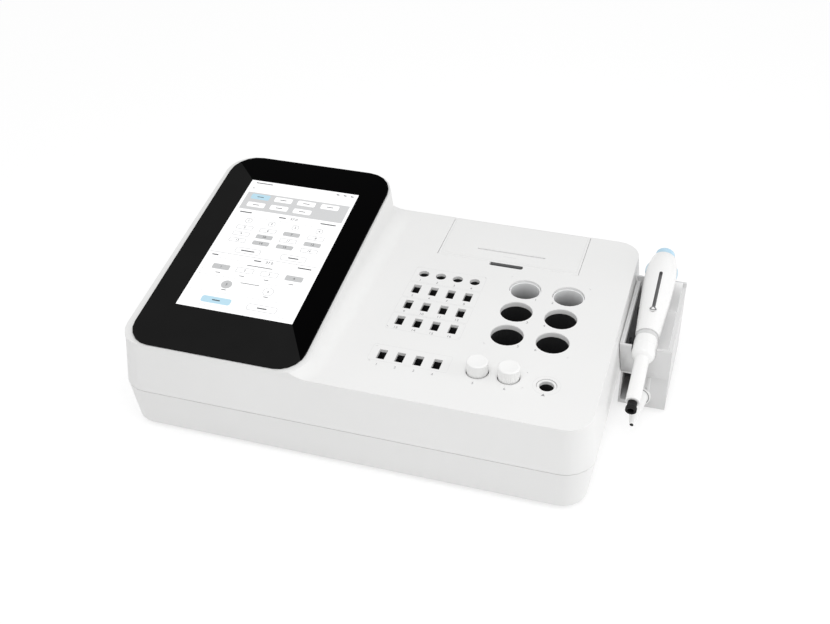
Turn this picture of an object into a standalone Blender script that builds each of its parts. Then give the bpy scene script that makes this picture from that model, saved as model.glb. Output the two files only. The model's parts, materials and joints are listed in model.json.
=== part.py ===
"""Bench coagulation analyzer with a tilted touch screen, heated wells, a receipt printer and a
dispensing pipette in a side holder.

Metres, +Z up. The front faces -Y, and the origin is on the table, under the middle of the whole
object. Every position below is measured from the middle of the case, and one parent carries the
shift to the origin.
"""

from math import atan2, cos, hypot, pi, radians, sin

import bmesh
import bpy
from mathutils import Vector

mm = 0.001

# Clearances and steps shared by every piece
gap = 0.3 * mm
overrun = 6 * mm
corner_steps = 5
round_steps = 24
pin_steps = 12

# Case
body_width = 410 * mm
body_depth = 278 * mm
corner_radius = 26 * mm
foot_height = 2.5 * mm
seam_height = 43.7 * mm
deck_height = 86.2 * mm
side_draft = 5.1 * mm
wall = 3 * mm
seam_gap = 0.6 * mm
edge_chamfer = 2 * mm
post_inset_x = 17 * mm
post_inset_y = 22 * mm
post_radius = 4.5 * mm
screw_radius = 1.5 * mm
screw_head_radius = 3.2 * mm
screw_head_height = 2 * mm
screw_length = 52 * mm
foot_radius = 8 * mm
foot_stud_radius = 3 * mm
foot_inset_x = 42 * mm
foot_inset_y = 22 * mm

# Head, the raised part under the screen
head_tilt = radians(8.5)
head_width = 166.1 * mm
head_front_height = 93.6 * mm
head_back_lean = 12.7 * mm
head_top_height = 131 * mm
head_fillet = 14 * mm
head_front_corner = 23 * mm
head_back_corner = 26 * mm
corner_sweep = radians(86)
glass_thickness = 2 * mm
glass_length = 255.5 * mm
glass_front_width = 155.4 * mm
glass_back_width = 160.4 * mm
glass_front_corner = 22 * mm
glass_back_corner = 25.5 * mm
glass_rim = 1 * mm
display_width = 116 * mm
display_length = 182 * mm
display_thickness = 7 * mm
display_from_front = 44 * mm
display_offset = 1.4 * mm

# Wells of the deck
well_first_x = 18.6 * mm
well_pitch = 15.75 * mm
well_columns = 4
well_rows = 3
well_first_y = 10.7 * mm
well_row_pitch = 23.7 * mm
well_width = 7 * mm
well_length = 12.3 * mm
well_depth = 32 * mm
ball_well_radius = 4.7 * mm
ball_row_offset = 23.9 * mm
ball_well_depth = 20 * mm
test_row_y = -84.8 * mm
test_block_depth = 22 * mm
block_margin = 9 * mm
block_floor = 6 * mm
cover_margin = 5 * mm
cover_corner = 3 * mm
heater_thickness = 1.6 * mm

# Capped bores, to the right of the test row
cap_first_x = 99.8 * mm
cap_pitch = 26 * mm
cap_radius = 8.95 * mm
cap_rise = 11.4 * mm
cap_ring_gap = 0.6 * mm
cap_stem_radius = 7.2 * mm
cap_stem_length = 14 * mm
cap_bore_depth = 24 * mm
cap_edge = 1.2 * mm

# Reagent bores
reagent_first_x = 111.6 * mm
reagent_pitch_x = 38.8 * mm
reagent_first_y = 35.6 * mm
reagent_pitch_y = 33.75 * mm
reagent_columns = 2
reagent_rows = 3
reagent_radius = 14.2 * mm
reagent_depth = 40 * mm
reagent_wall = 4.5 * mm
cup_wall = 1.2 * mm
cup_recess = 2 * mm

# Mixing well and its stirrer
mixing_x = 157.2 * mm
mixing_y = -86.5 * mm
mixing_radius = 6.3 * mm
mixing_ring_radius = 8.1 * mm
mixing_ring_depth = 0.8 * mm
mixing_outer_radius = 10.5 * mm
mixing_depth = 24 * mm
mixing_floor = 2.5 * mm
stir_air = 1.5 * mm
stir_magnet_radius = 7 * mm
stir_magnet_height = 5 * mm
stir_shaft_radius = 1.5 * mm
stir_shaft_rise = 3 * mm
stir_motor_radius = 12 * mm

# Drive coils of the four test channels
coil_radius = 5.5 * mm
coil_neck_radius = 4 * mm
coil_length = 6 * mm
coil_flange = 1 * mm
coil_drop = 16 * mm
coil_board_thickness = 1.6 * mm

# Printer
lid_centre_x = 86.5 * mm
lid_width = 131.4 * mm
lid_front_y = 69.8 * mm
lid_thickness = 3 * mm
lid_lip_height = 9 * mm
lid_lip_thickness = 2.4 * mm
lid_swing_gap = 2.6 * mm
hinge_from_back = 7 * mm
hinge_drop = 6.7 * mm
hinge_ear_width = 4 * mm
hinge_ear_half = 3 * mm
hinge_side_rise = 3 * mm
hinge_inset = 8 * mm
hinge_pin_radius = 1.5 * mm
slit_y = 87.8 * mm
slit_length = 63 * mm
slit_width = 1.4 * mm
paper_width = 57.5 * mm
paper_radius = 18 * mm
paper_bore = 6.5 * mm
paper_y = 107.6 * mm
paper_drop = 37 * mm
platen_radius = 5 * mm
platen_shaft_radius = 2 * mm
platen_back = 6.5 * mm
platen_drop = 10 * mm
platen_ear_width = 2.5 * mm
platen_ear_half = 4 * mm
bay_wall = 2.4 * mm
bay_rim = 5 * mm
bay_rim_thickness = 2 * mm
bay_depth = 56 * mm
bay_inset = 2 * mm
bay_shelf_drop = 24 * mm
bay_back_gap = 2.2 * mm
bay_lip_clear = 15 * mm
spindle_socket = 1.2 * mm
print_head_depth = 9 * mm
print_head_height = 17 * mm
print_head_gap = 1.5 * mm
finger_width = 31 * mm
finger_reach = 5.4 * mm
finger_depth = 12 * mm

# Boards and supplies inside the case
board_thickness = 1.6 * mm
board_width = 118 * mm
board_length = 130 * mm
board_left = 12 * mm
board_front = 32 * mm
board_stand = 6 * mm
board_post_radius = 3 * mm
board_post_inset = 6 * mm
chip_size = 16 * mm
chip_height = 2 * mm
chip_shares = [(0.2, 0.2), (0.6, 0.2), (0.4, 0.6)]
supply_width = 112 * mm
supply_length = 62 * mm
supply_height = 30 * mm
supply_left = 30 * mm
supply_back = 37 * mm
supply_slot = 3 * mm
supply_slot_depth = 2 * mm
supply_slots = 5
supply_slot_share = 0.2

# Fan, behind the reagent block
fan_size = 30 * mm
fan_thickness = 10 * mm
fan_bore = 13 * mm
fan_hub = 5.5 * mm
fan_bar = 4 * mm
fan_bar_thickness = 2 * mm
fan_blades = 5
fan_blade_shares = [0.3, 0.6, 0.7]
fan_tip_gap = 0.8 * mm
fan_x = 167 * mm
fan_lift = 3 * mm
vent_slots = 4
vent_width = 3 * mm
vent_height = 22 * mm
vent_pitch = 7 * mm

# Rear plate and what it carries
rear_plate_left = 44 * mm
rear_plate_width = 132 * mm
rear_plate_height = 33 * mm
rear_plate_thickness = 2.2 * mm
rear_opening_margin = 5 * mm
inlet_width = 27.4 * mm
inlet_height = 19.8 * mm
inlet_depth = 22 * mm
inlet_flange = 2 * mm
inlet_wall = 2 * mm
inlet_blade_width = 4 * mm
inlet_blade_thickness = 2 * mm
inlet_blade_pitch = 7 * mm
inlet_from_left = 24 * mm
switch_width = 19.2 * mm
switch_height = 13 * mm
switch_depth = 16 * mm
switch_wall = 1.4 * mm
switch_from_left = 58 * mm
rocker_tilt = radians(10)
rocker_depth = 2 * mm
rocker_inset = 4 * mm
rocker_rise = 3.2 * mm
rocker_pin_radius = 1.2 * mm
serial_width = 31 * mm
serial_height = 12.5 * mm
serial_plug_width = 17 * mm
serial_plug_height = 8.4 * mm
serial_plug_rise = 3.6 * mm
serial_plug_slope = 1.2 * mm
serial_from_left = 87 * mm
usb_width = 14 * mm
usb_height = 7 * mm
usb_socket_width = 12.2 * mm
usb_socket_height = 4.8 * mm
usb_from_left = 116 * mm
port_depth = 14 * mm
port_stand = 2 * mm

# Holder on the right wall
holder_gap = 0.5 * mm
holder_width = 41 * mm
holder_length = 98 * mm
holder_front_y = 0.0
holder_bottom = 5 * mm
holder_top = 72 * mm
holder_wall = 2.2 * mm
holder_side_wall = 3.6 * mm
holder_saddle_rise = 5 * mm
tray_floor_height = 44 * mm
holder_foot_setback = 3 * mm
window_inset = 1.6 * mm
window_width = 8 * mm
window_depth = 62 * mm
window_margin = 4 * mm
holder_screw_radius = 2 * mm
holder_screw_head = 3.6 * mm
holder_screw_height = 2.2 * mm
holder_screw_length = 12 * mm
holder_screw_inset = 26 * mm
holder_screw_drop = 16 * mm

# Pipette, measured along its axis from the end of the tip seat
pipette_tilt = radians(10)
pipette_roll = radians(3)
pipette_from_right = 23.5 * mm
pipette_axis_height = 67.7 * mm
pipette_front_reach = 64.4 * mm
seat_length = 9 * mm
seat_radius = 4.7 * mm
seat_neck_radius = 4 * mm
seat_flange = 4 * mm
seat_bore = 2.6 * mm
shaft_length = 48 * mm
shaft_radius = 6 * mm
shaft_bore = 3.2 * mm
collar_length = 22.3 * mm
collar_radius = 10 * mm
collar_shares = [(0.06, 0.8), (0.14, 0.93), (0.3, 1), (0.75, 1), (1, 0.96)]
ring_length = 4.7 * mm
ring_radius = 9.4 * mm
barrel_length = 96 * mm
barrel_front_radius = 10.3 * mm
barrel_back_radius = 13.8 * mm
barrel_end_radius = 10.4 * mm
barrel_wide_at = 68 * mm
barrel_back_shares = [(0.45, 0.96), (0.65, 0.92), (0.85, 0.85)]
spigot_radius = 5.5 * mm
spigot_length = 6 * mm
button_radius = 8.6 * mm
button_rise = 8 * mm
button_travel = 5 * mm
button_slot_air = 1.6 * mm
button_seat = 9 * mm
button_crown = 2 * mm
wheel_radius = 14.7 * mm
wheel_thickness = 5 * mm
wheel_at = 79.5 * mm
wheel_axle_radius = 2 * mm
wheel_axle_half = 7.5 * mm
slot_start = 18.5 * mm
slot_length = 48 * mm
slot_width = 2.2 * mm
slot_depth = 4 * mm
slider_length = 5 * mm
slider_width = 6.4 * mm
slider_height = 1.6 * mm
slider_front_share = 0.3
slider_stem_width = 1.4 * mm
slider_stem_shares = [0.2, 0.8]

# Dispensing tip parked in the holder
tip_radius = 9.5 * mm
tip_ring_radius = 10.4 * mm
tip_ring_thickness = 1.6 * mm
tip_seat_length = 12 * mm
tip_cone_length = 38 * mm
tip_cone_radius = 8.4 * mm
tip_end_radius = 1.9 * mm
tip_hole_radius = 1.1 * mm
tip_hole_depth = 6 * mm
tip_height = 17 * mm

# Places that follow from the sizes above
half_width = body_width / 2
half_depth = body_depth / 2
deck_half_width = half_width - side_draft
deck_half_depth = half_depth - side_draft
deck_underside = deck_height - wall
block_top = deck_underside - gap
floor_top = foot_height + wall
lower_rim = seam_height - seam_gap / 2
upper_rim = seam_height + seam_gap / 2
head_wall_x = head_width - deck_half_width
draft_lean = atan2(side_draft, deck_height - seam_height)
screw_turn = (0, -pi / 2 - draft_lean, 0)
holder_left = half_width + holder_gap
holder_right = holder_left + holder_width
centre_shift = (holder_right - half_width) / 2
pipette_x = holder_right - pipette_from_right
wells_last_x = well_first_x + (well_columns - 1) * well_pitch
ball_row_y = well_first_y + ball_row_offset
caps_x = [cap_first_x, cap_first_x + cap_pitch]
posts = [
    (side_x * (deck_half_width - post_inset_x), side_y * (deck_half_depth - post_inset_y))
    for side_x in (-1, 1)
    for side_y in (-1, 1)
]
feet = [
    (side_x * (deck_half_width - foot_inset_x), side_y * (deck_half_depth - foot_inset_y))
    for side_x in (-1, 1)
    for side_y in (-1, 1)
]
corner_names = ["left_front", "left_back", "right_front", "right_back"]
ear_sides = [-1, 1]

LOOKS = {
    "case_white": ((0.86, 0.86, 0.85), 0.38, 0.0),
    "glass_black": ((0.004, 0.004, 0.005), 0.06, 0.0),
    "display_grey": ((0.35, 0.37, 0.4), 0.4, 0.2),
    "block_black": ((0.012, 0.012, 0.013), 0.5, 0.0),
    "cup_white": ((0.82, 0.83, 0.84), 0.35, 0.0),
    "cap_white": ((0.9, 0.9, 0.9), 0.4, 0.0),
    "metal_grey": ((0.55, 0.56, 0.58), 0.35, 1.0),
    "board_green": ((0.02, 0.16, 0.07), 0.5, 0.0),
    "part_grey": ((0.3, 0.31, 0.32), 0.55, 0.0),
    "part_black": ((0.015, 0.015, 0.016), 0.5, 0.0),
    "copper": ((0.72, 0.33, 0.16), 0.35, 1.0),
    "paper": ((0.88, 0.87, 0.84), 0.85, 0.0),
    "rubber": ((0.02, 0.02, 0.02), 0.85, 0.0),
    "holder_grey": ((0.62, 0.62, 0.62), 0.45, 0.0),
    "pipette_white": ((0.88, 0.88, 0.87), 0.35, 0.0),
    "light_blue": ((0.3, 0.55, 0.78), 0.35, 0.0),
    "ring_grey": ((0.5, 0.5, 0.5), 0.4, 0.0),
    "heater_orange": ((0.75, 0.3, 0.08), 0.6, 0.0),
}


def clear_scene():
    for obj in list(bpy.data.objects):
        bpy.data.objects.remove(obj)


def material(look):
    found = bpy.data.materials.get(look)
    if found:
        return found
    colour, roughness, metallic = LOOKS[look]
    made = bpy.data.materials.new(look)
    made.use_nodes = True
    shader = made.node_tree.nodes["Principled BSDF"]
    shader.inputs["Base Color"].default_value = (*colour, 1.0)
    shader.inputs["Roughness"].default_value = roughness
    shader.inputs["Metallic"].default_value = metallic
    made.diffuse_color = (*colour, 1.0)
    return made


def empty(name, parent=None, location=(0, 0, 0), rotation=(0, 0, 0)):
    made = bpy.data.objects.new(name, None)
    bpy.context.scene.collection.objects.link(made)
    made.parent = parent
    made.location = location
    made.rotation_euler = rotation
    return made


def place(name, mesh_data, parent, location, rotation):
    mesh = bpy.data.meshes.new(name)
    bmesh.ops.recalc_face_normals(mesh_data, faces=mesh_data.faces)
    mesh_data.to_mesh(mesh)
    mesh_data.free()
    made = bpy.data.objects.new(name, mesh)
    bpy.context.scene.collection.objects.link(made)
    made.parent = parent
    made.location = location
    made.rotation_euler = rotation
    return made


def piece(name, mesh_data, look, parent, location=(0, 0, 0), rotation=(0, 0, 0)):
    """One node of the assembly, with its own material."""
    made = place(name, mesh_data, parent, location, rotation)
    own = material(look).copy()
    own.name = name
    made.data.materials.append(own)
    made.data.shade_smooth()
    made.data.set_sharp_from_angle(angle=radians(35))
    return made


def helper(name, mesh_data, parent, location=(0, 0, 0), rotation=(0, 0, 0)):
    """A shape that only cuts or joins: it is never rendered."""
    made = place(name, mesh_data, parent, location, rotation)
    made.hide_render = True
    made.display_type = "WIRE"
    return made


def combine(target, tool, operation):
    modifier = target.modifiers.new(tool.name, "BOOLEAN")
    modifier.object = tool
    modifier.operation = operation
    modifier.solver = "EXACT"


def cut(target, tool):
    combine(target, tool, "DIFFERENCE")


def join(target, tool):
    combine(target, tool, "UNION")


def loft(shape, levels):
    """A closed skin through levels of points. A level of one point closes to a tip."""
    rings = [[shape.verts.new(point) for point in level] for level in levels]
    for low, high in zip(rings, rings[1:]):
        count = max(len(low), len(high))
        for i in range(count):
            j = (i + 1) % count
            corners = []
            for vert in (
                low[i % len(low)],
                low[j % len(low)],
                high[j % len(high)],
                high[i % len(high)],
            ):
                if vert not in corners:
                    corners.append(vert)
            shape.faces.new(corners)
    if len(rings[0]) > 1:
        shape.faces.new(list(reversed(rings[0])))
    if len(rings[-1]) > 1:
        shape.faces.new(rings[-1])
    return shape


def circle(radius, height, steps, x=0.0, y=0.0):
    if radius == 0:
        return [(x, y, height)]
    turns = [2 * pi * i / steps for i in range(steps)]
    return [(x + radius * cos(turn), y + radius * sin(turn), height) for turn in turns]


def turned(profile, steps=round_steps, x=0.0, y=0.0, shape=None):
    """A turned solid about a line along Z, from (radius, height) pairs in order."""
    levels = [circle(radius, height, steps, x, y) for radius, height in profile]
    return loft(shape or bmesh.new(), levels)


def cylinder(radius, bottom, top, steps=round_steps, x=0.0, y=0.0, shape=None):
    return turned([(radius, bottom), (radius, top)], steps, x, y, shape)


def box(low, high, shape=None):
    corners = [(low[0], low[1]), (high[0], low[1]), (high[0], high[1]), (low[0], high[1])]
    levels = [[(x, y, height) for x, y in corners] for height in (low[2], high[2])]
    return loft(shape or bmesh.new(), levels)


def prism(outline, bottom, top, shape=None):
    """An outline in X and Y, drawn anticlockwise, raised between two heights."""
    levels = [[(x, y, height) for x, y in outline] for height in (bottom, top)]
    return loft(shape or bmesh.new(), levels)


def lengthwise(outline, start, end):
    """An outline in X and Z carried along Y."""
    levels = [[(x, along, z) for x, z in outline] for along in (start, end)]
    return loft(bmesh.new(), levels)


def arc(centre_x, centre_y, radius, start, sweep, steps=corner_steps):
    turns = [start + sweep * i / steps for i in range(steps + 1)]
    return [(centre_x + radius * cos(turn), centre_y + radius * sin(turn)) for turn in turns]


def rounded(x0, x1, y0, y1, radius, steps=corner_steps, front_radius=None):
    """A rectangle with round corners, anticlockwise. Its front corners can have their own radius."""
    front = radius if front_radius is None else front_radius
    return (
        arc(x1 - radius, y1 - radius, radius, 0, pi / 2, steps)
        + arc(x0 + radius, y1 - radius, radius, pi / 2, pi / 2, steps)
        + arc(x0 + front, y0 + front, front, pi, pi / 2, steps)
        + arc(x1 - front, y0 + front, front, 3 * pi / 2, pi / 2, steps)
    )


def case_level(height, inset):
    """The case's outline at one height, drawn in from the seam's outline."""
    outline = rounded(
        inset - half_width,
        half_width - inset,
        inset - half_depth,
        half_depth - inset,
        corner_radius - inset,
    )
    return [(x, y, height) for x, y in outline]


def lower_inset(height):
    return side_draft * (seam_height - height) / (seam_height - foot_height)


def upper_inset(height):
    return side_draft * min(1, (height - seam_height) / (deck_height - seam_height))


def make_lower_shell(parent):
    chamfered = foot_height + edge_chamfer
    skin = loft(
        bmesh.new(),
        [
            case_level(foot_height, lower_inset(foot_height) + edge_chamfer),
            case_level(chamfered, lower_inset(chamfered)),
            case_level(lower_rim, lower_inset(lower_rim)),
        ],
    )
    shell = piece("lower_shell", skin, "case_white", parent)
    hollow = loft(
        bmesh.new(),
        [
            case_level(floor_top, lower_inset(floor_top) + wall),
            case_level(seam_height, wall),
            case_level(seam_height + overrun, wall),
        ],
    )
    cut(shell, helper("lower_hollow", hollow, parent))
    rise = bmesh.new()
    for x, y in posts:
        cylinder(post_radius, foot_height + wall / 2, lower_rim, pin_steps, x, y, rise)
    for x, y in board_posts():
        cylinder(board_post_radius, foot_height + wall / 2, board_height() - gap, pin_steps, x, y, rise)
    join(shell, helper("lower_posts", rise, parent))
    holes = bmesh.new()
    for x, y in posts:
        profile = [
            (screw_head_radius + gap, foot_height - overrun),
            (screw_head_radius + gap, foot_height + screw_head_height + gap),
            (screw_radius + gap, foot_height + screw_head_height + gap),
            (screw_radius + gap, seam_height + overrun),
        ]
        turned(profile, pin_steps, x, y, holes)
    for x, y in feet:
        cylinder(foot_stud_radius + gap, foot_height - overrun, floor_top + overrun, pin_steps, x, y, holes)
    cut(shell, helper("lower_holes", holes, parent))
    openings = bmesh.new()
    x0, x1, z0, z1 = rear_opening()
    box((x0, half_depth - side_draft - overrun, z0), (x1, half_depth + overrun, z1), openings)
    for i in range(vent_slots):
        x = fan_x + (i - (vent_slots - 1) / 2) * vent_pitch
        middle = fan_height()
        box(
            (x - vent_width / 2, half_depth - side_draft - overrun, middle - vent_height / 2),
            (x + vent_width / 2, half_depth + overrun, middle + vent_height / 2),
            openings,
        )
    cut(shell, helper("lower_openings", openings, parent))
    return shell


def upper_form(name, offset, bottom, maker):
    """The upper shell's outer form, or the same form drawn in by offset."""
    levels = [
        case_level(bottom, upper_inset(bottom) + offset),
        case_level(deck_height, side_draft + offset),
        case_level(head_top_height + overrun, side_draft + offset),
    ]
    form = maker(name, loft(bmesh.new(), levels))
    return form


def air_level(height, offset, flare):
    """The air beside and behind the head at one height: the head's outline, flared outward."""
    lean = head_back_lean * (height - deck_height) / (head_top_height - deck_height)
    back = deck_half_depth - lean
    grow = flare - offset
    far = body_width
    outline = [(head_wall_x - head_front_corner, -far)]
    outline += arc(
        head_wall_x - head_front_corner,
        head_front_corner - deck_half_depth,
        head_front_corner + grow,
        -corner_sweep,
        corner_sweep,
    )
    outline += arc(
        head_wall_x - head_back_corner, back - head_back_corner, head_back_corner + grow, 0, pi / 2
    )
    outline += arc(
        head_back_corner - deck_half_width,
        back - head_back_corner,
        head_back_corner + grow,
        pi / 2,
        corner_sweep,
    )
    outline += [(-far, back - head_back_corner), (-far, far), (far, far), (far, -far)]
    return [(x, y, height) for x, y in outline]


def head_air(offset):
    """All air above the deck around the head: the head's wall runs into the deck in a hollow."""
    radius = head_fillet + offset
    levels = []
    for i in range(corner_steps + 1):
        turn = pi / 2 * i / corner_steps
        height = deck_height - offset + radius * (1 - cos(turn))
        levels.append(air_level(height, offset, radius * (1 - sin(turn))))
    levels.append(air_level(head_top_height + 2 * overrun, offset, 0))
    return loft(bmesh.new(), levels)


def shape_upper(form, tag, offset, parent):
    cut(form, helper("side_air" + tag, head_air(offset), parent))
    above = box(
        (-body_width, -overrun * 2, -glass_thickness - gap - offset),
        (body_width, glass_length * 2, head_top_height),
    )
    cut(form, helper("head_air" + tag, above, parent, glass_origin(), (head_tilt, 0, 0)))


def glass_origin():
    """The middle of the glass's front edge, on its top face."""
    return (
        head_wall_x - glass_rim - glass_back_width / 2,
        glass_rim / 2 - deck_half_depth,
        head_front_height,
    )


def make_upper_shell(parent):
    def outer(name, mesh_data):
        return piece(name, mesh_data, "case_white", parent)

    def inner(name, mesh_data):
        return helper(name, mesh_data, parent)

    shell = upper_form("upper_shell", 0, upper_rim, outer)
    shape_upper(shell, "_outer", 0, parent)
    hollow = upper_form("upper_hollow", wall, seam_height - overrun, inner)
    shape_upper(hollow, "_inner", wall, parent)
    cut(shell, hollow)
    hang = bmesh.new()
    for x, y in posts:
        top = deck_height - wall / 2
        if x < head_wall_x:
            top = head_surface(y) - glass_thickness - wall
        cylinder(post_radius, upper_rim, top, pin_steps, x, y, hang)
    join(shell, helper("upper_posts", hang, parent))
    bores = bmesh.new()
    for x, y in posts:
        cylinder(screw_radius + gap, upper_rim - overrun, screw_top() + gap, pin_steps, x, y, bores)
    cut(shell, helper("upper_bores", bores, parent))
    covers = bmesh.new()
    for place in (incubation_cover_box(), test_cover_box(), reagent_cover_box()):
        cover_form(place, gap, deck_underside - overrun, deck_height + overrun, covers)
    bottom = deck_underside - overrun
    cylinder(mixing_ring_radius + gap, bottom, deck_height + overrun, round_steps, mixing_x, mixing_y, covers)
    cut(shell, helper("cover_openings", covers, parent))
    for name, shape in zip(("lid_opening", "lid_notch", "finger_opening"), printer_openings()):
        cut(shell, helper(name, shape, parent))
    window = box(
        (
            display_offset - display_width / 2 - gap,
            display_from_front - gap,
            -glass_thickness - 2 * gap - wall - overrun,
        ),
        (display_offset + display_width / 2 + gap, display_from_front + display_length + gap, overrun),
    )
    rotation = (head_tilt, 0, 0)
    cut(shell, helper("display_window", window, parent, glass_origin(), rotation))
    cut_screw_holes(shell, "holder_holes", parent)
    return shell


def head_surface(y):
    """The height of the glass's top plane above a place."""
    front = glass_origin()
    return front[2] + (y - front[1]) * sin(head_tilt) / cos(head_tilt)


def screw_top():
    return foot_height + gap + screw_head_height + screw_length


def well_places():
    """Middle of every rectangular well of the incubation block, then of the test row."""
    places = []
    for row in range(well_rows):
        for column in range(well_columns):
            places.append((well_first_x + column * well_pitch, well_first_y - row * well_row_pitch))
    return places


def test_places():
    return [(well_first_x + column * well_pitch, test_row_y) for column in range(well_columns)]


def reagent_places():
    return [
        (reagent_first_x + column * reagent_pitch_x, reagent_first_y - row * reagent_pitch_y)
        for row in range(reagent_rows)
        for column in range(reagent_columns)
    ]


def rectangles(places, bottom, top, margin=0.0):
    shape = bmesh.new()
    for x, y in places:
        box(
            (x - well_width / 2 - margin, y - well_length / 2 - margin, bottom),
            (x + well_width / 2 + margin, y + well_length / 2 + margin, top),
            shape,
        )
    return shape


def printer_openings():
    """The lid's opening in the deck, the lip's notch in the back wall, and the finger slot."""
    bottom = deck_underside - overrun
    top = deck_height + overrun
    low, high = lid_box()
    back = (high[0] + gap, half_depth + overrun, top)
    opening = box((low[0] - gap, low[1] - gap, bottom), back)
    notch_bottom = deck_height - lid_thickness - lid_lip_height - lid_swing_gap
    notch = box((low[0] - gap, deck_half_depth - 2 * wall, notch_bottom), back)
    x0, x1, y0 = finger_place()
    finger = prism(rounded(x0, x1, y0, low[1], finger_reach / 3, 3), bottom, top)
    return opening, notch, finger


def cover_form(place, margin, bottom, top, shape=None):
    """A flush cover plate's outline, grown by a margin."""
    x0, x1, y0, y1 = place
    outline = rounded(x0 - margin, x1 + margin, y0 - margin, y1 + margin, cover_corner + margin)
    return prism(outline, bottom, top, shape)


def incubation_cover_box():
    return (
        well_first_x - well_width / 2 - cover_margin,
        wells_last_x + well_width / 2 + cover_margin,
        well_first_y - (well_rows - 1) * well_row_pitch - well_length / 2 - cover_margin,
        ball_row_y + ball_well_radius + cover_margin,
    )


def test_cover_box():
    half = test_block_depth / 2 - gap
    return (
        well_first_x - well_width / 2 - cover_margin,
        caps_x[-1] + cap_radius + cover_margin,
        test_row_y - half,
        test_row_y + half,
    )


def reagent_cover_box():
    margin = reagent_radius + cover_margin / 2
    return (
        reagent_first_x - margin,
        reagent_first_x + (reagent_columns - 1) * reagent_pitch_x + margin,
        reagent_first_y - (reagent_rows - 1) * reagent_pitch_y - margin,
        reagent_first_y + margin,
    )


def make_covers(parent):
    """White plates flush with the deck, with the holes over the three blocks."""
    bottom = deck_underside - overrun
    top = deck_height + overrun
    plate = cover_form(incubation_cover_box(), 0, deck_underside, deck_height)
    cover = piece("incubation_cover", plate, "case_white", parent)
    cut(cover, helper("cover_wells", rectangles(well_places(), bottom, top), parent))
    balls = bmesh.new()
    for column in range(well_columns):
        x = well_first_x + column * well_pitch
        cylinder(ball_well_radius, bottom, top, round_steps, x, ball_row_y, balls)
    cut(cover, helper("cover_balls", balls, parent))
    plate = cover_form(test_cover_box(), 0, deck_underside, deck_height)
    cover = piece("test_cover", plate, "case_white", parent)
    cut(cover, helper("cover_tests", rectangles(test_places(), bottom, top), parent))
    bores = bmesh.new()
    for x in caps_x:
        cylinder(cap_radius + cap_ring_gap, bottom, top, round_steps, x, test_row_y, bores)
    cut(cover, helper("cover_caps", bores, parent))
    plate = cover_form(reagent_cover_box(), 0, deck_underside, deck_height)
    cover = piece("reagent_cover", plate, "case_white", parent)
    bores = bmesh.new()
    for x, y in reagent_places():
        cylinder(reagent_radius, bottom, top, round_steps, x, y, bores)
    cut(cover, helper("cover_reagents", bores, parent))


def make_head(parent):
    tilted = empty("head_plane", parent, glass_origin(), (head_tilt, 0, 0))
    outline = []
    half_front = glass_front_width / 2
    half_back = glass_back_width / 2
    for x, y in rounded(
        -half_back,
        half_back,
        0,
        glass_length,
        glass_back_corner,
        front_radius=glass_front_corner,
    ):
        share = y / glass_length
        outline.append((x * (half_front + (half_back - half_front) * share) / half_back, y))
    piece("screen_glass", prism(outline, -glass_thickness, 0), "glass_black", tilted)
    top = -glass_thickness - gap
    half = display_width / 2
    module = box(
        (display_offset - half, display_from_front, top - display_thickness),
        (display_offset + half, display_from_front + display_length, top),
    )
    piece("display_module", module, "display_grey", tilted)


def make_incubation(parent):
    x0 = well_first_x - well_width / 2 - block_margin
    x1 = wells_last_x + well_width / 2 + block_margin
    y0 = well_first_y - (well_rows - 1) * well_row_pitch - well_length / 2 - block_margin
    y1 = ball_row_y + ball_well_radius + block_margin
    bottom = block_top - well_depth - block_floor
    block = piece("incubation_block", box((x0, y0, bottom), (x1, y1, block_top)), "block_black", parent)
    wells = rectangles(well_places(), block_top - well_depth, block_top + overrun, gap)
    cut(block, helper("incubation_wells", wells, parent))
    balls = bmesh.new()
    for column in range(well_columns):
        x = well_first_x + column * well_pitch
        floor = block_top - ball_well_depth
        cylinder(ball_well_radius + gap, floor, block_top + overrun, round_steps, x, ball_row_y, balls)
    cut(block, helper("ball_wells", balls, parent))
    low = (x0 + block_margin / 2, y0 + block_margin / 2, bottom - gap - heater_thickness)
    high = (x1 - block_margin / 2, y1 - block_margin / 2, bottom - gap)
    piece("heater_mat", box(low, high), "heater_orange", parent)


def make_test_block(parent):
    x0 = well_first_x - well_width / 2 - block_margin
    x1 = caps_x[-1] + cap_radius + block_margin
    y0 = test_row_y - test_block_depth / 2
    y1 = test_row_y + test_block_depth / 2
    bottom = block_top - well_depth - block_floor
    block = piece("test_block", box((x0, y0, bottom), (x1, y1, block_top)), "block_black", parent)
    wells = rectangles(test_places(), block_top - well_depth, block_top + overrun, gap)
    cut(block, helper("test_wells", wells, parent))
    bores = bmesh.new()
    for x in caps_x:
        floor = block_top - cap_bore_depth
        cylinder(cap_stem_radius + gap, floor, block_top + overrun, round_steps, x, test_row_y, bores)
    cut(block, helper("cap_bores", bores, parent))
    high = (wells_last_x + block_margin, y1, bottom - gap)
    low = (x0, y0 - coil_length - gap, bottom - gap - coil_board_thickness)
    piece("coil_board", box(low, high), "board_green", parent)
    for number, (x, y) in enumerate(test_places(), 1):
        profile = [
            (coil_radius, 0),
            (coil_radius, coil_flange),
            (coil_neck_radius, coil_flange),
            (coil_neck_radius, coil_length - coil_flange),
            (coil_radius, coil_length - coil_flange),
            (coil_radius, coil_length),
        ]
        at = (x, y0 - gap, block_top - coil_drop)
        piece(f"drive_coil_{number}", turned(profile, pin_steps), "copper", parent, at, (pi / 2, 0, 0))


def make_caps(parent):
    for side, x in zip(("left", "right"), caps_x):
        seat = block_top + gap - deck_height
        profile = [
            (0, seat - cap_stem_length),
            (cap_stem_radius, seat - cap_stem_length),
            (cap_stem_radius, seat),
            (cap_radius, seat),
            (cap_radius, cap_rise - cap_edge),
            (cap_radius - cap_edge, cap_rise),
            (0, cap_rise),
        ]
        at = (x, test_row_y, deck_height)
        piece(f"well_cap_{side}", turned(profile), "cap_white", parent, at)


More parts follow.
